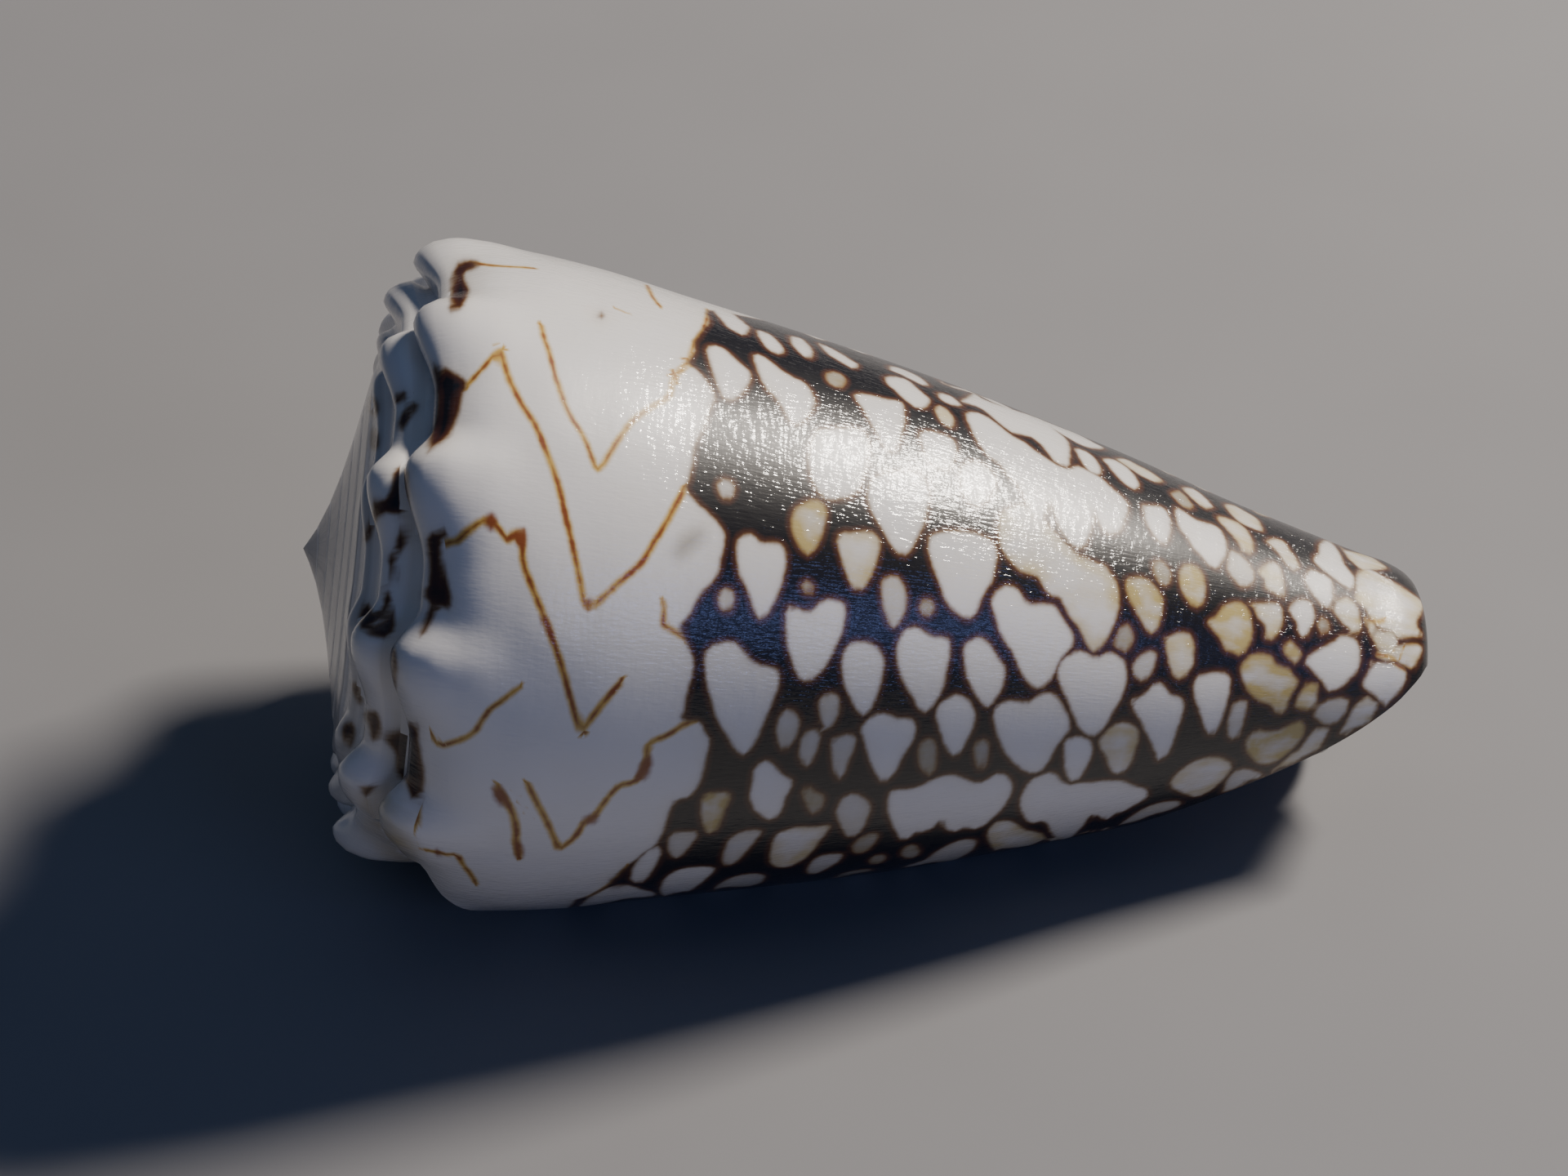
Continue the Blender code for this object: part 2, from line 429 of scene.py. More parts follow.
@dataclass
class ShellSurface:
    """Fine mesh of the shell, with each point's age and its run down the whorl.

    Its first two points are the spire's tip and the foot of the columella.
    """

    tip: ClassVar[int] = 0
    foot: ClassVar[int] = 1
    lip: Lip = Lip()
    columns_per_turn: int = 330
    hidden_step: int = 4
    ramp_parts: int = 2
    side_spacing: float = 0.00047
    columella_depth: float = 0.0735
    columella_age: float = 0.5
    columella_run: float = 0.08
    apex_run: float = -0.01
    measured_age: float = 0.35
    slope: float = math.radians(11.3)

    def __post_init__(self) -> None:
        """Start with the apex and the foot of the columella."""
        self.section = self.lip.section
        self.points: list[Array] = [np.array([[0, 0, 0], [0, 0, -self.columella_depth]])]
        self.ages: list[Array] = [np.array([self.section.spiral.drawn, self.columella_age])]
        self.runs: list[Array] = [np.array([self.apex_run, self.columella_run])]
        self.count = len(self.points[0])
        self.faces: list[tuple] = []

    def add_column_set(self, ages: Array, points: Array, run: float) -> Array:
        """Keep a row of points.

        Args:
            ages: age of each point.
            points: the points themselves.
            run: length along the whorl's outline from the shoulder, in metres.

        Returns:
            The points' numbers.
        """
        numbers = np.arange(self.count, self.count + len(points))
        self.count += len(points)
        self.points.append(points)
        self.ages.append(ages)
        self.runs.append(np.full(len(points), run))
        return numbers

    def side_rows(self) -> list[float]:
        """Rows of the side, evenly spaced along the outline at the lip.

        Returns:
            Row numbers from the shoulder to the front end.
        """
        rows = [float(self.section.seam)]
        young = np.array([0.0])
        for lower in range(self.section.seam, self.section.front):
            ends = [self.section.control(young, row)[0] for row in (lower, lower + 1)]
            parts = max(1, round(float(np.linalg.norm(ends[1] - ends[0])) / self.side_spacing))
            rows += [lower + (part + 1) / parts for part in range(parts)]
        return rows

    def runs_of(self, rows: list[float]) -> list[float]:
        """Length along the outline from the first of the rows to each of them.

        Args:
            rows: row numbers.

        Returns:
            Lengths in metres.
        """
        young = np.array([self.measured_age])
        places = [self.section.point(young, row)[0] for row in rows]
        runs = [0.0]
        for before, here in zip(places, places[1:]):
            runs.append(runs[-1] + float(np.linalg.norm(here - before)))
        return runs

    def add_ramp(self) -> None:
        """Spire: every whorl from its suture to its shoulder."""
        last = round(self.section.spiral.drawn * self.columns_per_turn)
        turns = np.arange(last + 1) / self.columns_per_turn
        rows = [(part + 1) / self.ramp_parts
                for part in range(self.section.seam * self.ramp_parts)]
        runs = self.runs_of([0.0] + rows)
        sheet = []
        for row, run in zip(rows, runs[1:]):
            points = self.lip.place(turns, self.section.point(turns, row))
            sheet.append(self.add_column_set(turns, points, run - runs[-1]))
        suture = np.full(last + 1, self.tip)
        suture[:last + 1 - self.columns_per_turn] = sheet[-1][self.columns_per_turn:]
        self.ramp = np.array([suture] + sheet)
        for column in range(last):
            for row in range(len(rows)):
                corners = (self.ramp[row, column], self.ramp[row + 1, column],
                           self.ramp[row + 1, column + 1], self.ramp[row, column + 1])
                if corners[0] == corners[3]:
                    corners = corners[:3]
                self.faces.append(tuple(int(corner) for corner in corners))
        end = [self.tip] + [int(number) for number in self.ramp[1:, last]]
        self.faces.append(tuple(end))

    def add_side(self) -> None:
        """Side of the body whorl, and of the whorl that shows inside the aperture."""
        self.rows = self.side_rows()
        self.side_runs = self.runs_of(self.rows)
        self.roof_row = self.rows.index(float(self.section.seam + 1))
        self.reach = round(self.lip.reach * self.columns_per_turn)
        turns = np.arange(self.columns_per_turn + 1) / self.columns_per_turn
        older = self.columns_per_turn + np.arange(0, self.reach + 1, self.hidden_step)[1:]
        older_turns = older / self.columns_per_turn
        self.side = [self.ramp[-1, :self.columns_per_turn + 1]]
        self.older = [None] * self.roof_row
        for row, run in zip(self.rows[1:], self.side_runs[1:]):
            ages = self.lip.age(turns, row)
            points = self.lip.place(ages, self.section.point(ages, row))
            self.side.append(self.add_column_set(ages, points, run))
        for index in range(self.roof_row, len(self.rows)):
            outline_points = self.section.point(older_turns, self.rows[index])
            points = self.lip.place(older_turns, outline_points)
            numbers = self.add_column_set(older_turns, points, self.side_runs[index])
            self.older.append(np.concatenate([self.side[index][-1:], numbers]))
        self.side = np.array(self.side)
        self.add_sheet(self.side)
        self.outer_faces = len(self.faces)
        self.add_sheet(np.array(self.older[self.roof_row:]))

    def add_sheet(self, sheet: Array) -> None:
        """Fill a grid of points with four-sided faces.

        Args:
            sheet: the points' numbers, row by row.
        """
        quads = np.stack([sheet[:-1, :-1], sheet[1:, :-1], sheet[1:, 1:], sheet[:-1, 1:]], axis=-1)
        self.faces += [tuple(int(corner) for corner in quad) for quad in quads.reshape(-1, 4)]

    def add_inside(self) -> None:
        """Inner side of the wall, the aperture's roof, its far end and the lip's edge."""
        columns = np.arange(0, self.reach + 1, self.hidden_step)
        turns = columns / self.columns_per_turn
        roof = self.lip.place(turns, self.lip.roof_point(turns))
        sheet = [self.add_column_set(turns, roof, 0.0)]
        for index in range(self.roof_row, len(self.rows)):
            row = self.rows[index]
            ages = self.lip.age(turns, row)
            points = self.lip.place(ages, self.lip.wall_point(turns, row))
            sheet.append(self.add_column_set(ages, points, self.side_runs[index]))
        inside = np.array(sheet)
        self.add_sheet(inside)
        older = self.older[self.roof_row:]
        self.add_sheet(np.array([inside[0], older[0]]))
        self.faces.append((int(inside[0, -1]), int(older[0][-1]), int(inside[1, -1])))
        far_wall = [line[-1] for line in older]
        self.add_sheet(np.array([inside[1:, -1], far_wall]))
        self.add_edge(inside)

    def add_edge(self, inside: Array) -> None:
        """Edge of the lip, rim of the front end and foot of the columella.

        Args:
            inside: numbers of the points on the wall's inner side, with the roof first.
        """
        roof = int(inside[0, 0])
        corner = [int(self.ramp[0, 0]), int(self.ramp[1, 0]), roof]
        corner += [int(self.side[row, -1]) for row in range(self.roof_row, 0, -1)]
        self.faces.append(tuple(corner))
        lip_line = [int(number) for number in self.ramp[1:, 0]]
        lip_line += [int(self.side[row, 0]) for row in range(1, self.roof_row)]
        for here, following in zip(lip_line, lip_line[1:]):
            self.faces.append((here, following, roof))
        last = int(self.side[self.roof_row, 0])
        self.faces.append((lip_line[-1], last, int(inside[1, 0]), roof))
        self.add_sheet(np.array([self.side[self.roof_row:, 0], inside[1:, 0]]))
        front = self.side[-1]
        for index in range(inside.shape[1] - 1):
            start = index * self.hidden_step
            rim = [int(number) for number in front[start:start + self.hidden_step + 1]]
            self.faces.append(tuple(rim + [int(inside[-1, index + 1]), int(inside[-1, index])]))
        ring = [int(inside[-1, -1])] + [int(number) for number in front[self.reach:]]
        ring += [int(number) for number in self.older[-1][1:]]
        for index, here in enumerate(ring):
            self.faces.append((here, ring[(index + 1) % len(ring)], self.foot))

    def build(self, apex: Vector) -> bpy.types.Mesh:
        """Make the mesh and lay it down where the solid lies.

        Args:
            apex: the spire's tip in the row frame.

        Returns:
            The mesh, closed and with its faces turned outward.
        """
        self.add_ramp()
        self.add_side()
        self.add_inside()
        up = np.array([math.sin(self.slope), 0.0, math.cos(self.slope)])
        along = np.array([-math.cos(self.slope), 0.0, math.sin(self.slope)])
        local = np.concatenate(self.points)
        across = np.array([0.0, 1.0, 0.0])
        self.world = local @ np.array([up, across, along]) + np.array(apex)
        self.age = np.concatenate(self.ages)
        self.run = np.concatenate(self.runs)
        self.radius = np.hypot(local[:, 0], local[:, 1])
        mesh = bpy.data.meshes.new("shell")
        mesh.from_pydata(self.world.tolist(), [], self.faces)
        return mesh


class Tone(Enum):
    """Tone of a tent: how warm and how dim its white is, each from 0 to 1."""

    WHITE = (0.05, 0.0)
    CREAM = (0.45, 0.06)
    YELLOW = (0.8, 0.20)
    GREY = (0.15, 0.30)
    DIM = (0.45, 0.58)


def outline(text: str) -> Array:
    """Read a drawn outline: photo pixels, as x,y pairs.

    Args:
        text: the pairs, with spaces between them.

    Returns:
        One row for each pair.
    """
    return np.array([[float(part) for part in pair.split(",")] for pair in text.split()])


# The next tables hold outlines and lines read in the photo, in its pixels.
WHITE_TENTS = (
    "873,379 886,378 900,386 912,396 918,402 911,411 900,406 889,399 882,390",
    "926,405 938,407 950,415 958,425 960,432 952,434 942,429 933,419",
    "968,412 980,414 990,422 996,432 992,440 984,436 975,428 969,420",
    "1002,420 1015,425 1030,433 1042,441 1051,446 1046,452 1036,447 1024,440 1012,432",
    "865,428 871,423 882,424 895,434 908,446 919,456 918,468 910,480 898,490 888,489 881,478"
    " 876,465 870,448",
    "922,436 931,434 942,441 955,452 970,461 983,467 993,478 998,492 993,505 985,516 975,520 966,515"
    " 960,503 950,488 940,478 932,465 926,450",
    "1046,484 1060,482 1082,488 1104,492 1108,505 1107,520 1103,538 1097,552 1086,552 1076,536 1066,518"
    " 1056,500",
    "1000,528 1020,524 1045,524 1060,530 1064,550 1060,575 1052,600 1035,610 1010,610 995,590 990,560",
    "902,666 906,658 916,653 924,656 932,664 942,664 954,665 962,674 963,686 961,702 956,720 948,738"
    " 940,752 934,758 929,757 923,748 919,734 914,720 906,706 902,688",
    "963,744 972,744 986,748 994,748 1002,738 1012,734 1026,735 1035,742 1035,756 1032,772 1024,792"
    " 1016,808 1006,822 996,832 986,834 978,830 970,814 965,796 962,776",
    "1032,800 1038,790 1050,785 1062,786 1074,792 1081,802 1083,815 1080,830 1077,845 1071,860 1066,870"
    " 1058,877 1050,872 1043,860 1034,840 1031,825 1030,812",
    "864,796 872,790 886,786 900,786 908,794 920,808 934,814 948,818 955,826 955,836 950,852 942,870"
    " 934,890 926,908 916,922 908,925 900,918 890,902 881,888 873,868 867,848 863,825 862,808",
    "1062,600 1070,585 1085,578 1110,576 1128,582 1138,600 1136,622 1130,645 1120,665 1112,677 1104,680"
    " 1094,672 1084,655 1072,635 1064,618",
    "1136,664 1142,654 1165,650 1190,652 1212,660 1221,674 1221,684 1218,700 1214,714 1204,728 1200,740"
    " 1194,752 1186,758 1178,756 1166,746 1158,736 1152,720 1146,704 1140,688",
    "1214,736 1218,726 1228,718 1240,717 1250,726 1256,736 1264,740 1280,739 1292,742 1298,752 1308,766"
    " 1314,778 1314,790 1306,800 1298,810 1292,824 1284,836 1274,843 1264,841 1254,830 1246,816"
    " 1240,800 1232,788 1224,774 1220,760 1216,748",
    "1097,800 1100,784 1106,772 1120,767 1132,772 1144,780 1158,780 1164,788 1163,804 1160,820 1156,840"
    " 1150,854 1140,868 1132,873 1124,868 1116,852 1106,836 1100,820",
    "1180,792 1188,784 1200,780 1212,788 1222,804 1230,816 1231,828 1227,844 1220,856 1212,866 1204,864"
    " 1196,854 1188,840 1182,824 1180,808",
    "1146,870 1152,860 1164,852 1174,850 1186,856 1192,866 1195,878 1192,892 1186,904 1178,920 1170,927"
    " 1162,922 1154,908 1150,894 1146,882",
    "1216,876 1220,864 1232,858 1246,858 1258,860 1266,854 1276,849 1290,849 1298,856 1304,868 1310,880"
    " 1310,894 1300,906 1292,918 1284,934 1275,944 1262,948 1250,942 1238,932 1228,918 1222,904"
    " 1218,890",
    "1294,828 1296,814 1302,806 1312,800 1320,796 1332,800 1343,806 1352,800 1362,799 1374,806 1380,818"
    " 1379,840 1374,858 1362,874 1356,886 1348,897 1338,902 1330,900 1322,893 1314,878 1308,862"
    " 1300,844",
    "1182,508 1192,504 1208,510 1220,518 1232,528 1244,536 1256,542 1268,552 1280,560 1296,570 1308,574"
    " 1320,570 1332,576 1346,583 1360,596 1374,608 1382,620 1378,636 1370,648 1360,655 1352,650"
    " 1345,640 1339,622 1338,640 1334,656 1327,670 1316,670 1306,660 1298,648 1291,630 1285,612"
    " 1280,625 1276,640 1262,630 1252,606 1244,592 1232,580 1224,568 1212,560 1200,546 1190,528",
    "1176,492 1184,487 1194,482 1208,482 1228,490 1248,500 1260,508 1280,516 1292,526 1306,538 1310,548"
    " 1310,564 1306,572 1294,566 1284,556 1274,544 1264,536 1254,533 1240,530 1228,522 1216,512"
    " 1204,502 1192,496",
    "1146,463 1160,464 1190,472 1220,482 1248,494 1256,500 1246,500 1216,490 1186,480 1160,472",
    "1262,506 1280,512 1300,524 1320,532 1344,540 1356,546 1346,550 1326,546 1304,534 1284,522",
    "1084,462 1098,461 1112,466 1124,476 1136,486 1139,492 1134,499 1124,500 1116,496 1106,488"
    " 1096,478 1086,470",
    "1092,448 1110,454 1126,462 1137,471 1130,472 1116,465 1102,458 1090,453",
    "1148,482 1158,482 1170,489 1178,497 1170,497 1160,494 1152,489",
    "1126,530 1140,528 1160,534 1170,542 1171,556 1166,568 1162,576 1146,572 1136,564 1130,548",
    "1176,572 1188,565 1200,566 1212,574 1219,586 1216,602 1206,616 1192,620 1180,606 1175,588",
    "1316,550 1324,550 1334,556 1344,566 1349,576 1344,582 1334,578 1326,568 1320,558",
    "1350,562 1362,562 1374,568 1386,578 1394,590 1394,599 1386,598 1374,590 1364,579 1356,569",
    "1396,618 1410,619 1424,621 1432,632 1434,646 1431,660 1424,666 1416,660 1408,648 1402,636 1397,626",
    "1439,624 1446,623 1456,632 1468,638 1484,642 1494,648 1501,662 1502,678 1498,690 1490,696 1480,692"
    " 1472,682 1462,672 1452,660 1444,646 1440,634",
    "1461,840 1466,828 1478,824 1494,823 1504,826 1507,838 1504,856 1499,874 1494,888 1487,899"
    " 1479,899 1473,886 1467,868 1462,854",
    "1385,857 1396,853 1404,847 1410,839 1420,836 1428,842 1434,850 1442,852 1449,858 1450,868"
    " 1446,882 1441,896 1436,912 1430,924 1422,929 1414,922 1408,908 1400,892 1392,876 1386,866",
    "1053,893 1062,880 1076,873 1088,874 1100,879 1112,878 1120,884 1122,896 1116,912 1106,926"
    " 1100,940 1092,952 1082,958 1074,952 1066,936 1060,918 1056,904",
    "917,976 920,960 922,944 930,934 940,930 950,938 958,948 970,955 968,968 962,978 958,992"
    " 950,1002 940,1004 930,998 922,990",
    "1302,915 1304,906 1312,902 1322,901 1332,904 1338,912 1338,924 1332,936 1326,948 1318,957"
    " 1310,957 1304,945 1302,930",
    "1248,985 1252,970 1262,955 1276,948 1288,945 1296,950 1302,957 1312,960 1322,958 1340,957"
    " 1360,955 1376,956 1390,962 1404,966 1406,972 1400,980 1386,988 1376,994 1366,996 1358,1003"
    " 1350,1003 1342,998 1334,1000 1328,1010 1320,1018 1310,1026 1298,1028 1288,1022 1282,1010"
    " 1276,1006 1266,1008 1258,1006 1252,998",
    "1086,985 1088,972 1096,966 1110,966 1124,963 1138,956 1152,950 1166,948 1178,951 1190,957"
    " 1202,957 1212,952 1220,947 1230,948 1238,955 1241,964 1236,978 1228,990 1216,1002 1204,1012"
    " 1190,1016 1182,1013 1172,1018 1162,1018 1156,1012 1154,1004 1149,1008 1142,1014 1132,1019"
    " 1122,1019 1114,1026 1104,1029 1098,1022 1092,1010 1087,998",
    "1598,706 1606,697 1616,700 1626,708 1632,720 1632,734 1626,744 1618,740 1608,728 1600,716",
    "1606,682 1614,678 1616,666 1624,661 1634,668 1642,680 1650,692 1658,706 1658,718 1650,722"
    " 1642,716 1632,706 1620,698 1610,689",
    "1578,746 1584,736 1600,734 1608,744 1610,756 1606,772 1598,781 1590,776 1584,764",
    "1598,812 1602,804 1616,794 1630,786 1644,777 1656,780 1664,790 1666,806 1662,822 1652,832"
    " 1642,842 1632,846 1622,840 1616,832 1604,822",
    "1668,836 1674,820 1682,807 1696,812 1712,812 1722,822 1720,838 1712,850 1702,861 1694,856"
    " 1686,849 1676,848",
    "808,1086 816,1073 832,1064 856,1061 876,1062 872,1070 858,1082 842,1092 824,1102 814,1102 809,1094",
    "708,1110 722,1098 744,1087 766,1083 784,1088 802,1093 798,1102 784,1108 760,1110 730,1112",
    "774,1064 782,1051 795,1039 806,1036 810,1044 806,1056 798,1068 788,1080 778,1081 772,1076",
)
CREAM_TENTS = (
    "1709,748 1716,742 1723,750 1720,760 1712,761",
    "1662,702 1676,696 1694,706 1712,716 1730,728 1742,742 1746,762 1742,778 1730,780 1712,782"
    " 1700,776 1688,768 1678,758 1672,744 1664,724",
    "1684,800 1700,790 1716,788 1734,788 1739,798 1734,812 1729,820 1712,812 1698,806",
    "1024,660 1030,652 1045,652 1058,650 1072,654 1078,664 1076,680 1071,696 1066,708 1060,718"
    " 1053,723 1045,720 1038,708 1033,694 1028,678",
    "1145,499 1154,497 1162,504 1168,514 1167,523 1160,523 1152,516 1147,508",
    "1224,630 1240,620 1258,618 1275,632 1290,650 1304,664 1318,678 1335,686 1348,692 1358,700"
    " 1367,712 1371,730 1369,750 1361,772 1351,790 1341,799 1332,792 1325,778 1318,766 1310,756"
    " 1303,742 1298,733 1292,731 1284,728 1276,716 1270,706 1260,703 1250,700 1240,690 1230,678"
    " 1223,660",
    "1366,562 1378,562 1392,569 1406,576 1418,584 1424,589 1416,591 1404,586 1390,578 1376,568",
    "1448,598 1460,598 1472,606 1482,616 1485,621 1476,623 1466,618 1458,609",
    "1500,618 1512,619 1524,626 1538,634 1546,644 1542,649 1530,646 1516,638 1506,628",
    "1490,632 1502,634 1516,640 1526,648 1533,660 1535,672 1530,679 1522,674 1514,662 1504,650 1494,640",
    "1426,782 1434,778 1446,774 1457,777 1462,787 1462,802 1458,816 1452,828 1443,832 1436,826"
    " 1431,812 1428,796",
    "1530,738 1546,738 1562,740 1570,748 1571,760 1567,774 1560,783 1552,780 1546,768 1540,756 1532,744",
    "1551,663 1560,659 1572,663 1582,674 1588,686 1591,694 1584,698 1574,690 1564,678 1556,668",
    "1543,700 1550,691 1560,688 1568,696 1574,708 1574,720 1569,732 1561,729 1552,720 1545,710",
    "1640,668 1648,670 1660,674 1676,678 1688,682 1698,688 1698,696 1686,699 1670,699 1658,690 1648,680",
    "1660,710 1664,701 1676,706 1688,716 1698,724 1704,734 1702,746 1696,754 1684,752 1670,744"
    " 1660,734 1657,722",
    "1636,744 1642,732 1652,734 1660,746 1666,760 1666,772 1658,776 1650,768 1640,758",
    "1670,758 1680,758 1688,772 1700,774 1710,780 1712,792 1706,800 1694,798 1684,794 1676,780",
    "1345,908 1352,897 1362,888 1374,884 1386,886 1393,893 1395,905 1390,920 1384,934 1377,945"
    " 1367,948 1359,942 1354,928 1348,918",
    "1208,1022 1214,1010 1224,1005 1238,1005 1248,1010 1256,1016 1268,1018 1278,1022 1286,1030"
    " 1298,1032 1310,1030 1326,1024 1342,1018 1356,1013 1358,1016 1344,1024 1326,1030 1308,1036"
    " 1288,1040 1268,1043 1248,1046 1232,1047 1220,1042 1212,1034",
    "942,1050 944,1036 950,1022 962,1016 980,1012 1000,1012 1016,1010 1014,1018 1004,1030 994,1044"
    " 982,1054 968,1061 952,1062 944,1058",
    "1640,898 1646,888 1652,876 1660,863 1670,854 1680,856 1684,866 1680,878 1672,888 1662,896 1650,900",
    "1561,944 1566,936 1576,926 1590,918 1600,904 1608,894 1616,889 1624,893 1622,905 1614,918"
    " 1602,930 1588,939 1574,947 1565,950",
    "1434,955 1444,944 1458,934 1474,928 1490,926 1501,930 1505,938 1500,950 1492,960 1480,970"
    " 1466,976 1452,977 1440,972 1434,964",
)
YELLOW_TENTS = (
    "1378,712 1386,707 1400,707 1410,714 1418,722 1424,736 1423,750 1419,766 1412,776 1404,772"
    " 1396,758 1386,740 1380,726",
    "1444,700 1450,692 1460,691 1470,698 1475,710 1476,724 1473,738 1464,744 1456,738 1448,726 1444,712",
    "1519,820 1524,808 1534,801 1546,800 1558,804 1566,812 1578,818 1588,826 1590,836 1584,850"
    " 1576,866 1570,874 1562,873 1552,866 1540,858 1530,846 1522,834",
    "1478,762 1490,753 1498,742 1508,738 1520,738 1530,748 1533,764 1531,782 1526,796 1518,803"
    " 1508,798 1499,797 1492,785 1486,772",
    "968,640 972,625 985,615 1000,612 1012,622 1010,640 1005,660 998,672 989,680 980,672 973,660",
    "1525,908 1530,898 1540,893 1554,893 1566,894 1578,887 1588,883 1596,885 1598,895 1592,907"
    " 1582,918 1570,928 1558,935 1544,936 1534,930 1527,920",
    "1572,790 1580,784 1590,790 1594,802 1588,812 1580,808 1573,800",
    "1590,850 1594,840 1602,835 1610,838 1613,848 1612,860 1606,871 1597,872 1590,864",
    "858,985 862,973 876,970 892,970 894,978 888,992 882,1008 876,1019 866,1020 860,1010 858,998",
)
GREY_TENTS = (
    "879,728 884,721 893,720 899,727 899,738 894,747 887,749 881,742",
    "878,592 888,586 897,590 900,600 895,610 888,612 882,606",
    "1002,862 1006,852 1014,848 1024,849 1029,858 1028,870 1024,882 1017,892 1010,892 1004,880",
    "1079,725 1080,712 1086,706 1095,705 1103,710 1109,722 1110,738 1107,752 1100,765 1093,768"
    " 1087,760 1082,745",
    "1505,674 1514,676 1524,684 1532,694 1536,704 1532,716 1522,718 1512,710 1506,698 1504,684",
    "1498,966 1504,952 1514,943 1528,941 1542,946 1547,952 1540,962 1530,970 1516,975 1504,974",
    "1612,872 1620,860 1634,855 1646,853 1652,858 1650,868 1644,878 1634,886 1622,888 1614,882",
    "1377,1006 1384,1000 1396,992 1412,985 1430,981 1444,981 1446,986 1436,996 1420,1005"
    " 1404,1012 1390,1015 1380,1012",
    "950,892 954,876 962,868 972,870 979,880 979,892 974,904 966,916 958,919 952,908",
    "980,906 986,896 996,893 1004,898 1003,912 998,926 990,938 982,936 978,924",
    "1017,906 1026,902 1038,898 1048,902 1047,916 1040,932 1034,948 1027,955 1021,946 1018,926",
    "1024,990 1030,978 1042,972 1054,974 1064,982 1067,990 1062,1004 1056,1016 1046,1025"
    " 1036,1024 1029,1012 1024,1000",
    "817,1032 822,1020 838,1018 853,1018 852,1028 842,1040 832,1050 822,1050 818,1042",
    "884,1055 886,1042 892,1028 904,1020 920,1016 932,1016 930,1024 920,1036 910,1048 898,1058 888,1060",
    "988,1064 994,1054 1006,1047 1022,1045 1032,1046 1028,1054 1016,1062 1002,1069 990,1070",
    "870,1092 878,1084 894,1075 914,1070 932,1070 937,1074 930,1082 914,1090 894,1095 876,1097",
    "1106,1062 1116,1058 1132,1053 1144,1044 1158,1036 1174,1029 1188,1027 1196,1030 1192,1040"
    " 1180,1048 1164,1054 1144,1060 1124,1064",
    "1386,818 1392,806 1402,799 1411,797 1416,802 1415,812 1410,824 1403,833 1396,834 1389,828",
    "1503,886 1506,872 1510,862 1518,857 1527,859 1526,872 1522,888 1517,902 1509,906 1503,900",
)
DIM_TENTS = (
    "1012,457 1022,455 1032,460 1036,467 1029,475 1019,472 1012,465",
    "982,716 988,711 995,716 996,725 990,729 984,724",
    "1126,740 1132,733 1140,734 1144,742 1141,752 1134,756 1128,750",
    "1124,915 1130,906 1140,904 1146,912 1147,928 1144,945 1136,950 1127,940 1124,928",
    "1192,915 1198,906 1206,905 1211,912 1210,928 1206,940 1200,943 1194,932",
    "1412,690 1420,686 1430,694 1434,706 1430,716 1422,716 1415,706",
    "1434,604 1444,601 1454,610 1461,620 1456,623 1448,620 1440,612",
    "1368,778 1372,768 1380,765 1386,772 1388,782 1384,792 1377,799 1371,795 1367,786",
    "1613,765 1619,756 1626,762 1627,772 1621,777 1615,774",
    "982,966 990,962 998,968 1008,974 1010,982 1004,992 996,998 989,990 984,978",
    "1043,1038 1048,1030 1058,1022 1072,1020 1076,1024 1070,1034 1060,1043 1048,1045",
    "1064,1054 1070,1048 1080,1046 1085,1050 1080,1056 1070,1058",
    "1103,1044 1108,1037 1118,1034 1126,1040 1124,1048 1114,1051 1105,1049",
    "1018,1076 1030,1070 1046,1066 1062,1064 1072,1066 1066,1071 1048,1074 1030,1078",
)

TENTS = {
    Tone.WHITE: WHITE_TENTS,
    Tone.CREAM: CREAM_TENTS,
    Tone.YELLOW: YELLOW_TENTS,
    Tone.GREY: GREY_TENTS,
    Tone.DIM: DIM_TENTS,
}

# Lower edge of the white zone, from the top of the photo down.
ZONE_EDGE = (
    "868,380 869,394 862,402 856,410 850,420 851,428 846,438 842,446 850,450 860,460 868,470 874,480"
    " 876,488 870,500 864,520 856,536 850,548 849,560 846,576 842,592 838,598 846,606 856,618 872,632"
    " 882,644 888,655 887,670 883,685 880,700 872,714 862,722 852,738 846,750 838,762 831,771 836,778"
    " 843,790 849,805 850,815 846,835 842,850 838,870 835,878 842,883 850,882 860,886 864,897 870,906"
    " 866,925 862,945 856,962 846,975 838,978 826,982 820,994 816,1008 811,1022 802,1036 790,1044"
    " 778,1054 768,1061 745,1084 720,1098 698,1110"
)

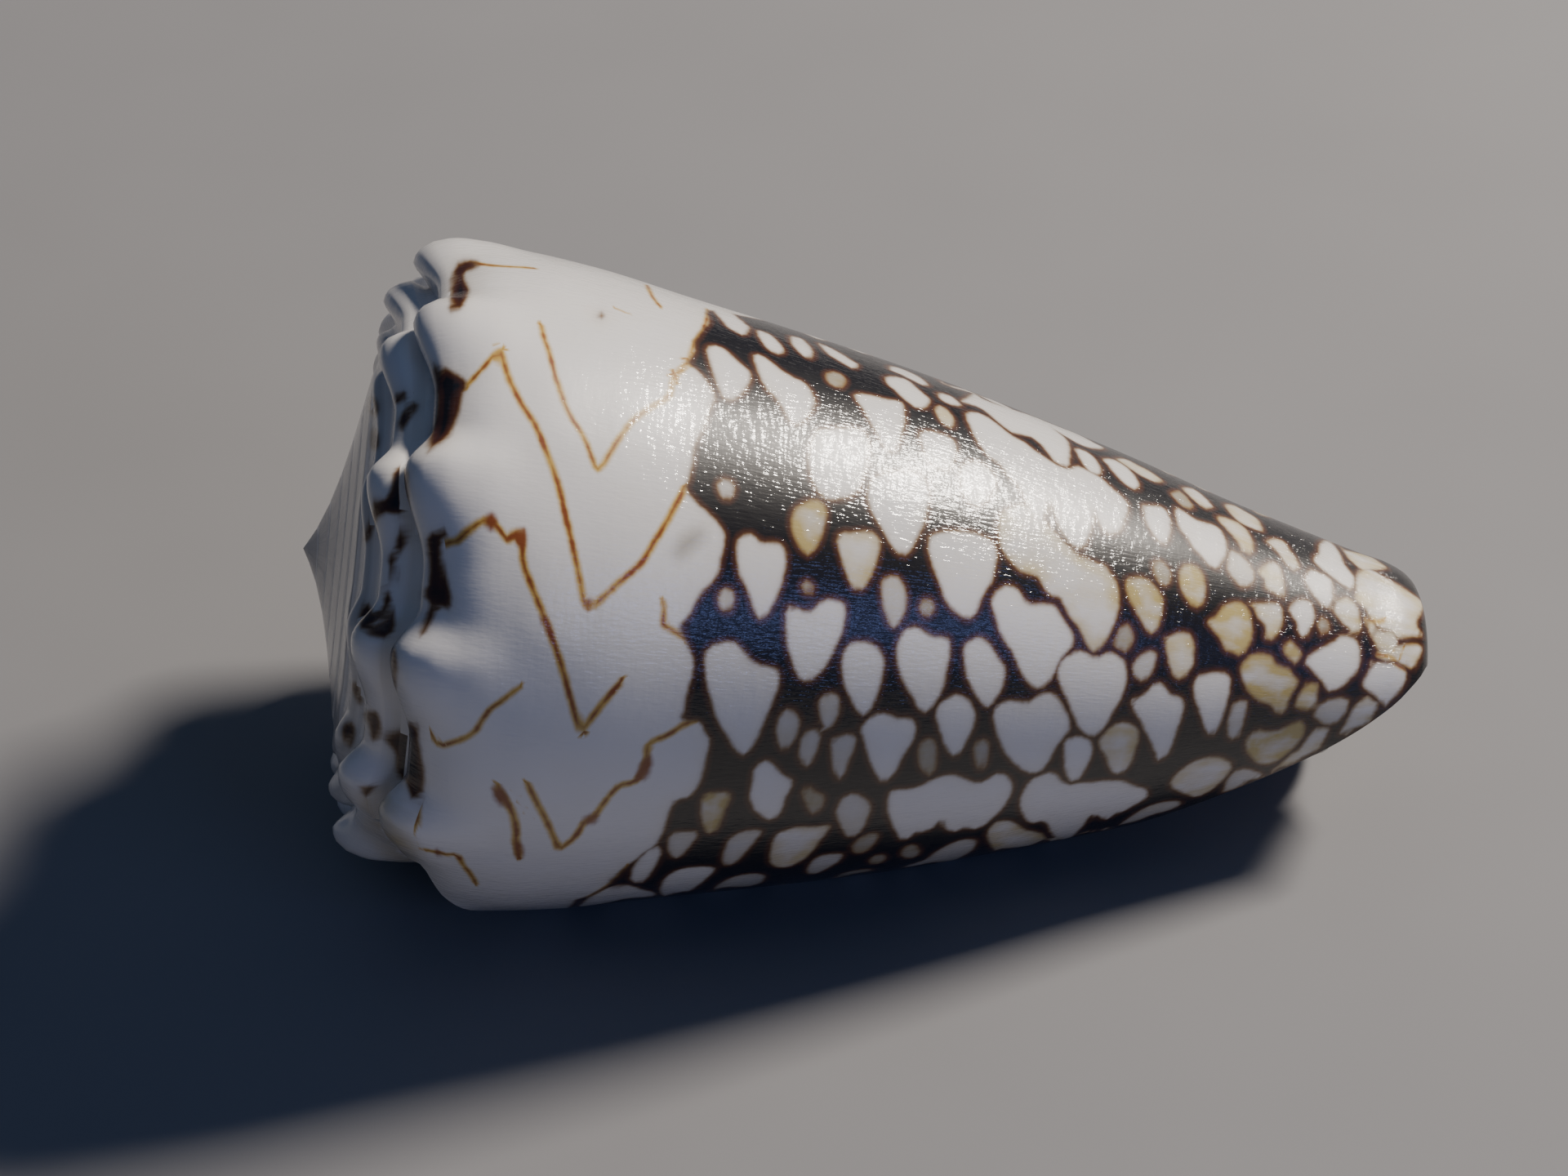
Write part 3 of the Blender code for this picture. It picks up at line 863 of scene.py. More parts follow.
# Zigzag lines in the white zone: half the width in millimetres, and the line.
THREADS = (
    (0.20, "580,322 610,326 650,328"),
    (0.18, "572,472 581,462 590,452 602,438 612,427"),
    (0.23, "612,427 620,455 636,490 655,520 672,560 685,600 697,650 706,690 715,735 721,743 727,742"
           " 755,716 785,690 797,670 810,650 824,624 838,598"),
    (0.19, "663,398 666,414 672,430 680,460 690,490 700,512 712,530 722,552 733,575 752,546 775,515 796,500"
           " 820,485 822,474 825,462 840,446 858,430"),
    (0.23, "540,665 550,664 560,662 580,645 597,636 612,648 622,662 630,657 637,650 640,670 641,690 656,730"
           " 672,770 690,824 705,880 709,890 713,893 736,864 760,835"),
    (0.18, "505,888 525,893 530,904 538,913 552,910 570,903 583,894 590,882 600,868 612,860 635,842"),
    (0.18, "511,988 511,1000 510,1012"),
    (0.16, "1682,800 1700,808 1712,815 1728,822"),
    (0.15, "1672,757 1684,762 1692,760"),
    (0.18, "1724,784 1734,786 1742,785"),
    (0.26, "608,964 615,974 622,985 630,1003 632,1020 632,1032 636,1048"),
    (0.22, "646,960 655,978 664,995 674,1015 680,1030 684,1040 690,1036 705,1024 716,1006 728,1000 738,985"
           " 750,970 760,961 780,956 790,935 793,915 798,908 818,900 836,888 850,882"),
    (0.18, "523,1041 533,1043 543,1046 560,1047 568,1060 576,1070 583,1082"),
    (0.20, "813,738 813,752 812,765 822,771 835,780"),
    (0.17, "790,345 798,362 808,375"),
    (0.07, "756,378 760,380 766,383"),
    (0.14, "868,380 862,402 850,420 842,446 825,462"),
    (0.15, "720,1098 745,1084 768,1061"),
)

# Rusty knots on the zigzag lines.
KNOTS = (
    "594,636 600,628 607,634 607,644 602,650 595,645",
    "634,648 640,646 644,654 643,668 637,674 632,662",
    "603,964 611,962 619,972 623,984 617,988 608,980",
    "630,1032 637,1032 641,1046 634,1050",
    "714,1003 724,998 733,999 729,1006 719,1009",
    "794,924 798,934 793,950 784,956 779,952 784,938",
    "718,733 726,738 724,746 717,744",
    "662,752 668,756 672,772 666,770",
    "533,1041 541,1042 541,1047 534,1046",
)

# Soft stains: the worn yellowish spire base, and the dull spot in the white zone.
STAINS = (
    (Tone.YELLOW, "452,985 462,975 478,985 490,1005 500,1025 512,1050 495,1062 475,1048 460,1030 450,1010"),
    (Tone.DIM, "826,676 834,662 846,652 858,650 860,660 852,668 842,676 832,682"),
)

# Dark blotches between the knobs.
BLOTCHES = (
    "562,322 575,319 586,323 580,328 571,332 567,338 571,348 574,356 570,366 566,376 556,379"
    " 549,381 552,372 552,356 553,342 557,331",
    "532,446 545,452 556,457 566,463 571,473 566,482 563,498 558,514 552,530 542,541 528,548"
    " 520,556 524,544 531,526 535,508 536,488 534,468",
    "525,658 534,650 541,645 546,656 540,662 538,668 541,684 545,702 549,720 552,738 547,745"
    " 541,741 536,742 531,752 525,764 517,776 511,777 516,765 524,751 528,739 519,727 525,719"
    " 527,702 527,684 524,670",
    "487,899 496,891 503,885 511,890 511,905 515,925 518,945 518,965 515,982 511,990 506,980"
    " 501,963 495,953 487,955 486,940 486,922 480,909",
    "510,493 512,498 504,508 496,520 490,528 488,522 491,511 500,499",
    "484,492 488,481 496,481 496,487 491,492",
    "453,488 460,490 462,502 458,509 453,500",
    "457,526 462,532 463,544 458,550 455,540",
    "484,574 492,573 498,580 498,600 499,622 492,628 478,628 466,626 458,640 454,654 449,662"
    " 448,655 452,642 458,626 459,612 468,614 478,606 482,592",
    "497,632 502,640 502,656 494,668 487,680 480,690 477,684 484,670 490,652",
    "479,690 485,692 486,706 481,716 478,706",
    "448,738 454,748 459,762 457,775 449,777 442,768 441,754",
    "470,722 476,730 480,742 482,752 482,780 472,782 465,770 464,752 471,742",
    "478,788 484,800 484,830 481,850 476,838 472,825 475,808",
    "434,836 440,845 443,862 438,856 433,846",
    "447,874 456,872 462,876 466,894 466,905 457,906 454,892",
    "422,888 430,886 434,898 428,914 420,900",
    "438,962 450,963 457,968 457,976 446,972",
    "768,1062 771,1078 762,1084 745,1084 756,1072",
    "733,383 738,385 736,389 732,388",
)


def signed_distance(points: Array, edge: Array) -> Array:
    """Distance from a closed outline, positive inside it.

    Args:
        points: places to measure from.
        edge: corners of the outline.

    Returns:
        One distance for each place.
    """
    following = np.roll(edge, -1, axis=0)
    nearest = np.full(len(points), np.inf)
    inside = np.zeros(len(points), bool)
    for start, end in zip(edge, following):
        nearest = np.minimum(nearest, distance_to_segment(points, start, end)[0])
        crosses = (start[1] > points[:, 1]) != (end[1] > points[:, 1])
        rise = end[1] - start[1]
        level = start[0] + (end[0] - start[0]) * (points[:, 1] - start[1]) / (rise or 1.0)
        inside ^= crosses & (points[:, 0] < level)
    return np.where(inside, nearest, -nearest)


def distance_to_segment(points: Array, start: Array,
                        end: Array) -> tuple[Array, Array]:
    """Distance from a straight piece of a line, and the side of it that a place is on.

    Args:
        points: places to measure from.
        start: one end of the piece.
        end: its other end.

    Returns:
        The distances, and the signed distances from the endless line.
    """
    run = end - start
    length = float(np.linalg.norm(run)) + TINY
    share = np.clip((points - start) @ run / length ** 2, 0.0, 1.0)
    offset = points - start - share[:, None] * run
    away = points - start
    side = (run[0] * away[:, 1] - run[1] * away[:, 0]) / length
    return np.linalg.norm(offset, axis=1), side


def rounded(corners: Array, closed: bool = True, parts: int = 3) -> Array:
    """Draw a smooth curve through the corners.

    Args:
        corners: points that the curve passes through.
        closed: whether its last point joins its first.
        parts: pieces for each stretch between corners.

    Returns:
        The points of the curve.
    """
    if closed:
        padded = np.concatenate([corners[-1:], corners, corners[:2]])
    else:
        padded = np.concatenate([corners[:1], corners, corners[-1:]])
    drawn = []
    for index in range(1, len(padded) - 2):
        before, here, following, later = padded[index - 1:index + 3]
        for part in range(parts):
            share = part / parts
            drawn.append(0.5 * (2 * here + (following - before) * share
                                + (2 * before - 5 * here + 4 * following - later) * share ** 2
                                + (3 * here - before - 3 * following + later) * share ** 3))
    if not closed:
        drawn.append(corners[-1])
    return np.array(drawn)


@dataclass(frozen=True)
class PhotoView:
    """Camera where the photo was taken: metres from the apex, and pixels of its frame."""

    offset: tuple = (0.034726, -0.201855, 0.164421)
    aim: tuple = (0.034321, 0.0, -0.006858)
    roll: float = math.radians(-2.48)
    lens: float = 90.0
    sensor: float = 36.0
    frame_size: tuple = (1920, 1440)
    axis_pixel: tuple = (1007.6, 741.1)
    heart_pixel: tuple = (960.0, 720.0)
    pull: float = 0.012
    clip: tuple = (0.01, 10.0)

    def turned(self) -> Matrix:
        """Rotation of the camera.

        Returns:
            A matrix whose columns are its right, its up and its back.
        """
        back = (Vector(self.offset) - Vector(self.aim)).normalized()
        right = Vector((0.0, 0.0, 1.0)).cross(back).normalized()
        up = back.cross(right)
        leaned = right * math.cos(self.roll) + up * math.sin(self.roll)
        upright = up * math.cos(self.roll) - right * math.sin(self.roll)
        return Matrix((leaned, upright, back)).transposed()

    def focal(self) -> float:
        """Distance of the picture plane in pixels."""
        return self.lens / self.sensor * self.frame_size[0]

    def pixels(self, places: Array, apex: Vector) -> tuple[Array, Array]:
        """Where places show in the frame.

        Args:
            places: points in the row frame.
            apex: the spire's tip.

        Returns:
            Their pixels, and their distances from the camera in metres.
        """
        seen = (places - np.array(apex + Vector(self.offset))) @ np.array(self.turned())
        flat = seen[:, :2] / -seen[:, 2:] * np.array([self.focal(), -self.focal()])
        return flat + np.array(self.axis_pixel), -seen[:, 2]

    def ray(self, pixel: Array) -> Vector:
        """Direction of the sight line through a pixel of the photo's frame."""
        flat = Vector((pixel[0] - self.axis_pixel[0], self.axis_pixel[1] - pixel[1], -self.focal()))
        return (self.turned() @ flat).normalized()

    def build(self, apex: Vector) -> bpy.types.Object:
        """Make the camera and give it to the scene.

        Args:
            apex: the spire's tip in the row frame.

        Returns:
            The camera.
        """
        data = bpy.data.cameras.new("camera")
        data.lens = self.lens
        data.sensor_width = self.sensor
        width, height = self.frame_size
        data.shift_x = -(self.axis_pixel[0] - width / 2) / width
        data.shift_y = (self.axis_pixel[1] - height / 2) / width
        data.clip_start, data.clip_end = self.clip
        camera = bpy.data.objects.new("camera", data)
        camera.matrix_world = Matrix.Translation(apex + Vector(self.offset)) @ self.turned().to_4x4()
        bpy.context.scene.collection.objects.link(camera)
        bpy.context.scene.camera = camera
        return camera


@dataclass(frozen=True)
class HiddenZone:
    """Edge of the white zone where the photo doesn't show it: radians and millimetres."""

    seed: int = 11
    first_turn: float = -1.5
    last_turn: float = 8.0
    step: float = 0.13
    sway: float = 0.03
    rise: float = 1.0
    lobe: float = 4.2
    lobe_steps: int = 3
    lobe_wander: tuple = (-0.7, 0.9)
    top: float = -30.0
    reach: float = 32.0
    radius: float = 21.5

    def edge(self, seen: Array, random: np.random.Generator) -> Array:
        """Carry the seen edge on round the shell in jagged lobes.

        Args:
            seen: turns and runs of the seen edge.
            random: source of the irregular lobes.

        Returns:
            Turns and runs of the whole edge, from the oldest turn to the lip.
        """
        turn, run = seen[0]
        places = [(self.last_turn, run)]
        for step in range(int((self.last_turn - turn) / self.step), 0, -1):
            lobe = self.lobe * (step % self.lobe_steps > 0) + random.uniform(*self.lobe_wander)
            place = turn + self.step * step + random.uniform(-self.sway, self.sway)
            places.append((place, run - self.rise + lobe))
        places += [tuple(place) for place in seen]
        return np.array(places + [(self.first_turn, seen[-1][1])])


@dataclass(frozen=True)
class HiddenThreads:
    """Threads where the photo doesn't show them: radians and millimetres."""

    seed: int = 14
    count: int = 8
    first_turn: float = 3.1
    spacing: float = 0.42
    sway: tuple = (-0.1, 0.1)
    start_run: tuple = (2.0, 5.0)
    tip_turn: tuple = (0.22, 0.36)
    tip_run: tuple = (3.5, 5.5)
    end_turn: tuple = (0.0, 0.15)
    end_run: tuple = (7.0, 9.0)
    bends: int = 5
    wander: tuple = (0.015, 0.3)
    half_width: tuple = (0.15, 0.22)

    def draw(self, number: int, random: np.random.Generator) -> tuple[Array, float]:
        """Draw one thread in the shape of a V.

        Args:
            number: which of the threads it is.
            random: source of its irregular bends.

        Returns:
            Turns and runs along it, and half its width.
        """
        turn = self.first_turn + self.spacing * number + random.uniform(*self.sway)
        start = np.array([turn, random.uniform(*self.start_run)])
        tip = start + np.array([-random.uniform(*self.tip_turn), random.uniform(*self.tip_run)])
        end = start + np.array([-random.uniform(*self.end_turn), random.uniform(*self.end_run)])
        shares = np.linspace(0.0, 1.0, self.bends)[:, None]
        path = np.concatenate([start + (tip - start) * shares, tip + (end - tip) * shares[1:]])
        path += random.uniform(-1.0, 1.0, path.shape) * np.array(self.wander)
        return rounded(path, closed=False), random.uniform(*self.half_width)


@dataclass(frozen=True)
class HiddenStreaks:
    """Dark streaks between knobs that the photo doesn't show: shares and millimetres."""

    seed: int = 12
    draws: int = 12
    knob_share: float = 0.55
    sway: float = 0.3
    ages: tuple = (0.45, 0.9)
    chance: float = 0.85
    margin: tuple = (6.0, 4.5)
    least_reach: float = 1.6
    more_reach: float = 1.5
    places: tuple = (-1.0, -0.5, 0.2, 0.7, 1.0)
    levels: tuple = (1.0, 1.6, 1.9, 1.3, -1.4)
    start_lift: float = 0.4
    body_lift: float = 0.4
    spire_lift: float = 1.4
    halves: tuple = (0.7, 1.1, 1.1, 0.7)
    thickness: float = 0.6

    def age(self, number: int, spiral: Spiral, draw: Array) -> float:
        """Age of the hollow between two knobs, in turns."""
        place = number - self.knob_share + self.sway * (draw[0] - 0.5)
        return spiral.knob_offset + place / spiral.knobs

    def left_out(self, age: float, draw: Array) -> bool:
        """Whether the photo shows this hollow, or chance leaves it white."""
        return not self.ages[0] < age % 1.0 < self.ages[1] or draw[1] > self.chance

    def line(self, age: float, size: float, draw: Array) -> tuple[Array, Array]:
        """Draw the middle line of a streak.

        Args:
            age: age of its hollow, in turns.
            size: size of the whorl there, as a share of its size at the lip.
            draw: the streak's random numbers.

        Returns:
            Millimetres round and down the shell from the hollow, and half its widths.
        """
        reach = self.least_reach + self.more_reach * draw[2]
        line = np.stack([np.array(self.places) * reach, np.array(self.levels) * draw[3:8]], axis=1)
        line[0, 1] -= self.start_lift
        line[:, 1] -= self.spire_lift if age > 1.0 else self.body_lift
        halves = np.array(self.halves) * (self.thickness + self.thickness * draw[8:12])
        return line * size, halves * size


@dataclass(frozen=True)
class HiddenTents:
    """Tents where the photo doesn't show them: radians and millimetres."""

    seed: int = 13
    attempts: int = 4200
    seen_turns: tuple = (-0.3, 2.45)
    turns: tuple = (-0.75, 6.9)
    runs: tuple = (8.0, 71.0)
    half_height: tuple = (0.8, 1.1)
    more_height: float = 2.3
    height_power: float = 1.6
    taper_runs: tuple = (20, 70)
    taper: tuple = (1.0, 0.55)
    slimness: tuple = (0.6, 0.85)
    zone_gap: float = 0.6
    seen_gap: float = 1.0
    tent_gap: float = 0.25
    overlap: float = 0.93
    blunt_end: tuple = (0.72, 0.98)
    corners: tuple = (
        (0.9, 0.5), (0.6, 0.95), (0.1, 0.98), (-0.5, 0.6), (-1.0, 0.05), (-0.55, -0.58),
        (0.1, -0.98), (0.62, -0.92),
    )
    shoulder: tuple = (0.92, -0.45)
    blunt_level: float = 0.05
    wander: tuple = (-0.12, 0.12)
    lean: tuple = (-0.4, 0.4)
    tones: tuple = (Tone.WHITE, Tone.CREAM, Tone.GREY, Tone.DIM)
    chances: tuple = (0.58, 0.24, 0.10, 0.08)

    def size(self, run: float, big: float, random: np.random.Generator) -> tuple[float, float]:
        """Half the height and half the breadth of a tent.

        Args:
            run: millimetres down the side.
            big: 1 for the biggest tents, 0 for the smallest.
            random: source of their variety.

        Returns:
            Half its height round the shell and half its breadth along it.
        """
        height = random.uniform(*self.half_height) * (1.0 + self.more_height * big ** self.height_power)
        height = height * np.interp(run, self.taper_runs, self.taper)
        return height, height * random.uniform(*self.slimness)

    def touches(self, tent: tuple, others: list[tuple], width: float) -> bool:
        """Whether a tent comes too close to those that are drawn.

        Args:
            tent: its turn, its run, half its height and half its breadth.
            others: the same of the drawn ones.
            width: radius of the shell at the tent, in millimetres.

        Returns:
            True where one of them is too close.
        """
        turn, run, tall, broad = tent
        return any(((turn - other[0]) * width / (tall + other[2] + self.tent_gap)) ** 2
                   + ((run - other[1]) / (broad + other[3] + self.tent_gap)) ** 2 < self.overlap
                   for other in others)

    def outline(self, tent: tuple, width: float, random: np.random.Generator) -> Array:
        """Outline of a rounded tent, blunt on its older side and pointed toward the lip.

        Args:
            tent: its turn, its run, half its height and half its breadth.
            width: radius of the shell at the tent, in millimetres.
            random: source of its irregular corners.

        Returns:
            Turns and runs of its outline.
        """
        turn, run, tall, broad = tent
        top = (random.uniform(*self.blunt_end), self.blunt_level)
        shape = np.array([self.shoulder, top, *self.corners])
        shape = shape + random.uniform(*self.wander, shape.shape)
        shape[:, 1] += shape[:, 0] * random.uniform(*self.lean)
        return np.array([turn, run]) + shape * np.array([tall / width, broad])

    def tone(self, random: np.random.Generator) -> Tone:
        """Tone of a tent: mostly white, some cream, a few dim."""
        return self.tones[int(random.choice(len(self.tones), p=list(self.chances)))]


@dataclass
class Markings:
    """Tents, zigzag threads and blotches, laid on the shell as distances in millimetres."""

    surface: ShellSurface
    view: PhotoView
    apex: Vector
    hidden_zone: HiddenZone = HiddenZone()
    hidden_threads: HiddenThreads = HiddenThreads()
    hidden_streaks: HiddenStreaks = HiddenStreaks()
    hidden_tents: HiddenTents = HiddenTents()
    far: float = 6.0
    tone_reach: float = 0.8
    sheet_gap: float = 1.2
    margin: float = 2.5
    pixel_margin: float = 30.0
    ray_tries: int = 60
    share_rounds: int = 40
    whorl_gap: float = 0.002
    least_gap: float = 1e-7
    stain_blur: float = 1.2
    ring_radius: float = 20.0

    def __post_init__(self) -> None:
        """Measure the outside of the shell and start with empty fields."""
        surface = self.surface
        self.outer = surface.faces[:surface.outer_faces]
        self.tree = BVHTree.FromPolygons(surface.world.tolist(), self.outer)
        self.numbers = np.unique(np.concatenate([surface.ramp.ravel(), surface.side.ravel()]))
        self.turn = surface.age[self.numbers] * TURN
        self.run = surface.run[self.numbers] / MM
        self.on_side = self.run >= 0.0
        young = np.array([0.0])
        self.run_table = np.array(surface.side_runs) / MM
        self.radius_table = np.array(
            [surface.section.point(young, row)[0][0] / MM for row in surface.rows])
        count = len(self.numbers)
        names = [*TENT_SHEETS, "patch", "knot"]
        self.fields = {name: np.full(count, -self.far) for name in names}
        self.fields["zone"] = np.full(count, self.far)
        self.fields["thread_side"] = np.full(count, self.far)
        self.fields["thread_gap"] = np.full(count, self.far)
        self.fields["thread_half"] = np.zeros(count)
        self.fields["warm"] = np.full(count, Tone.WHITE.value[0])
        self.fields["dim"] = np.zeros(count)
        self.best = np.full(count, -self.far)
        self.laid: list[tuple[Array, int]] = []

    def width(self, run: Array) -> Array:
        """Radius at a run down the side, in millimetres."""
        return np.interp(run, self.run_table, self.radius_table)

    def on_shell(self, pixel: Array) -> tuple[float, float]:
        """Find where the sight line through a pixel meets the shell.

        Args:
            pixel: place in the photo's frame; it is drawn inward until it meets the shell.

        Returns:
            Turn in radians and run in millimetres.
        """
        start = self.apex + Vector(self.view.offset)
        heart = np.array(self.view.heart_pixel)
        for _ in range(self.ray_tries):
            place, _, index, _ = self.tree.ray_cast(start, self.view.ray(pixel))
            if place is not None:
                break
            pixel = pixel + (heart - pixel) * self.view.pull
        corners = list(self.outer[index])
        world = self.surface.world[corners]
        gaps = np.linalg.norm(world - np.array(place), axis=1)
        nearness = 1.0 / (gaps + self.least_gap) ** 2
        shares = nearness / nearness.sum()
        for _ in range(self.share_rounds):
            miss = np.array(place) - shares @ world
            change = (world - world.mean(0)) @ miss / (gaps.max() ** 2 + TINY)
            shares = np.clip(shares + change, 0, None)
            shares = shares / shares.sum()
        turn = float(shares @ self.surface.age[corners]) * TURN
        return turn, float(shares @ self.surface.run[corners]) / MM

    def laid_down(self, text: str) -> Array:
        """Carry an outline from the photo's frame onto the shell."""
        return np.array([self.on_shell(pixel) for pixel in outline(text)])

    def flat(self, places: Array, centre: Array) -> Array:
        """Unroll places near a centre, in millimetres."""
        return np.stack([(places[:, 0] - centre[0]) * self.width(places[:, 1]),
                         places[:, 1] - centre[1]], axis=1)

    def near(self, corners: Array) -> tuple[Array, Array]:
        """Find the points of the shell around an outline.

        Args:
            corners: turns and runs of the outline.

        Returns:
            Their numbers, and their unrolled places.
        """
        centre = corners.mean(0)
        flat = self.flat(corners, centre)
        low, high = flat.min(0) - self.margin, flat.max(0) + self.margin
        spot = self.flat(np.stack([self.turn, self.run], axis=1), centre)
        chosen = np.nonzero(((spot > low) & (spot < high)).all(axis=1) & self.on_side)[0]
        return chosen, spot[chosen]

    def add_tent(self, corners: Array, tone: Tone) -> None:
        """Lay one tent on the sheet where no close neighbour lies.

        Args:
            corners: turns and runs of its outline.
            tone: how warm and dim it is.
        """
        chosen, spots = self.near(corners)
        edge = rounded(self.flat(corners, corners.mean(0)))
        distance = signed_distance(spots, edge)
        sheet = self.free_sheet(corners)
        field = self.fields[TENT_SHEETS[sheet]]
        field[chosen] = np.maximum(field[chosen], distance)
        nearer = (distance > self.best[chosen]) & (distance > -self.tone_reach)
        nearer &= self.fields["zone"][chosen] < 0.0
        self.best[chosen[nearer]] = distance[nearer]
        self.fields["warm"][chosen[nearer]] = tone.value[0]
        self.fields["dim"][chosen[nearer]] = tone.value[1]
        self.laid.append((corners, sheet))

    def free_sheet(self, corners: Array) -> int:
        """Find the sheet whose tents all lie well clear of a new one.

        Args:
            corners: turns and runs of the new tent's outline.

        Returns:
            The sheet's number.
        """
        centre = corners.mean(0)
        flat = self.flat(corners, centre)
        taken = set()
        for other, sheet in self.laid:
            gap = self.flat(other, centre)
            apart = np.maximum(gap.min(0) - flat.max(0), flat.min(0) - gap.max(0)).max()
            if apart < self.sheet_gap:
                taken.add(sheet)
        free = [sheet for sheet in range(len(TENT_SHEETS)) if sheet not in taken]
        return free[0] if free else len(self.laid) % len(TENT_SHEETS)

    def add_zone(self) -> None:
        """White zone below the shoulder, with its jagged lower edge all round."""
        plan = self.hidden_zone
        self.zone_edge = plan.edge(self.laid_down(ZONE_EDGE), np.random.default_rng(plan.seed))
        upper = [(plan.first_turn, plan.top), (plan.last_turn, plan.top)]
        closed = np.concatenate([rounded(self.zone_edge, closed=False), upper])
        scale = np.array([plan.radius, 1.0])
        body = self.on_side & (self.turn < plan.last_turn)
        chosen = np.nonzero(body & (self.run < plan.reach))[0]
        spots = np.stack([self.turn, self.run], axis=1)[chosen] * scale
        self.fields["zone"][chosen] = signed_distance(spots, closed * scale)
        self.fields["zone"][body & (self.run >= plan.reach)] = -self.far

    def add_threads(self) -> None:
        """Fine zigzag lines in the white zone."""
        for half, text in THREADS:
            self.add_thread(rounded(self.laid_down(text), closed=False), half)
        plan = self.hidden_threads
        random = np.random.default_rng(plan.seed)
        for number in range(plan.count):
            self.add_thread(*plan.draw(number, random))

    def add_thread(self, line: Array, half: float) -> None:
        """Lay one thread.

        Args:
            line: turns and runs along it.
            half: half its width, in millimetres.
        """
        chosen, spots = self.near(line)
        flat = self.flat(line, line.mean(0))
        gap = np.full(len(chosen), np.inf)
        side = np.zeros(len(chosen))
        for start, end in zip(flat, flat[1:]):
            distance, sign = distance_to_segment(spots, start, end)
            closer = distance < gap - TIE
            gap = np.where(closer, distance, gap)
            side = np.where(closer, np.sign(sign) * distance, side)
        nearer = gap < self.fields["thread_gap"][chosen]
        self.fields["thread_gap"][chosen[nearer]] = gap[nearer]
        self.fields["thread_side"][chosen[nearer]] = side[nearer]
        self.fields["thread_half"][chosen[nearer]] = half

    def add_blotches(self) -> None:
        """Dark blotches, rusty knots and stains drawn from the photo."""
        world = self.surface.world[self.numbers]
        pixels, away = self.view.pixels(world, self.apex)
        for name, texts in (("patch", BLOTCHES), ("knot", KNOTS)):
            field = self.fields[name]
            for text in texts:
                chosen, distance = self.in_frame(text, world, pixels, away)
                field[chosen] = np.maximum(field[chosen], distance)
        for tone, text in STAINS:
            chosen, distance = self.in_frame(text, world, pixels, away)
            share = np.clip(0.5 + distance / self.stain_blur, 0.0, 1.0)
            for name, value in zip(("warm", "dim"), tone.value):
                field = self.fields[name]
                field[chosen] += share * (value - field[chosen])

    def in_frame(self, text: str, world: Array, pixels: Array,
                 away: Array) -> tuple[Array, Array]:
        """Measure an outline in the photo's frame.

        Args:
            text: the outline.
            world: points of the shell.
            pixels: where they show in the frame.
            away: their distances from the camera.

        Returns:
            Numbers of the seen points near the outline, and their distances into it.
        """
        edge = rounded(outline(text))
        low, high = edge.min(0) - self.pixel_margin, edge.max(0) + self.pixel_margin
        chosen = np.nonzero(((pixels > low) & (pixels < high)).all(axis=1))[0]
        chosen = chosen[[self.faces_camera(world[number]) for number in chosen]]
        scale = away[chosen] / MM / self.view.focal()
        return chosen, signed_distance(pixels[chosen], edge) * scale

    def faces_camera(self, place: Array) -> bool:
        """Tell whether the camera sees a place, or one just behind what it sees.

        Args:
            place: point of the shell.

        Returns:
            True where nothing far in front of it hides it.
        """
        start = self.apex + Vector(self.view.offset)
        sight = Vector(place) - start
        _, _, _, reached = self.tree.ray_cast(start, sight.normalized())
        return reached is None or sight.length - reached < self.whorl_gap

    def add_spire_blotches(self) -> None:
        """Dark streaks between the knobs of the side that the photo doesn't show."""
        plan = self.hidden_streaks
        random = np.random.default_rng(plan.seed)
        spiral = self.surface.section.spiral
        field = self.fields["patch"]
        for number in range(1, round(spiral.drawn * spiral.knobs)):
            draw = random.random(plan.draws)
            age = plan.age(number, spiral, draw)
            if plan.left_out(age, draw):
                continue
            size = float(spiral.growth(np.array(age)))
            radius = spiral.shoulder_radius / MM * size
            spots = np.stack([self.turn - age * TURN, self.run], axis=1) * np.array([radius, size])
            across, down = plan.margin
            chosen = np.nonzero((np.abs(spots[:, 0]) < across) & (spots[:, 1] < down))[0]
            line, halves = plan.line(age, size, draw)
            for start, end, half in zip(line, line[1:], halves):
                gap = distance_to_segment(spots[chosen], start, end)[0]
                field[chosen] = np.maximum(field[chosen], half - gap)

    def add_hidden_tents(self) -> None:
        """Tents of the same kind on the sides that the photo doesn't show."""
        plan = self.hidden_tents
        random = np.random.default_rng(plan.seed)
        seen = np.concatenate([corners for corners, _ in self.laid])
        drawn: list[tuple] = []
        for attempt in range(plan.attempts):
            turn = random.uniform(*plan.turns)
            run = random.uniform(*plan.runs)
            tall, broad = plan.size(run, 1.0 - attempt / plan.attempts, random)
            level = float(np.interp(turn, self.zone_edge[::-1, 0], self.zone_edge[::-1, 1]))
            if run - broad < level + plan.zone_gap or plan.seen_turns[0] < turn < plan.seen_turns[1]:
                continue
            gaps = np.abs(self.flat(seen, np.array([turn, run])))
            room = np.array([tall, broad]) + plan.seen_gap
            tent = (turn, run, tall, broad)
            width = float(self.width(run))
            if (gaps < room).all(axis=1).any() or plan.touches(tent, drawn, width):
                continue
            drawn.append(tent)
            self.add_tent(plan.outline(tent, width, random), plan.tone(random))

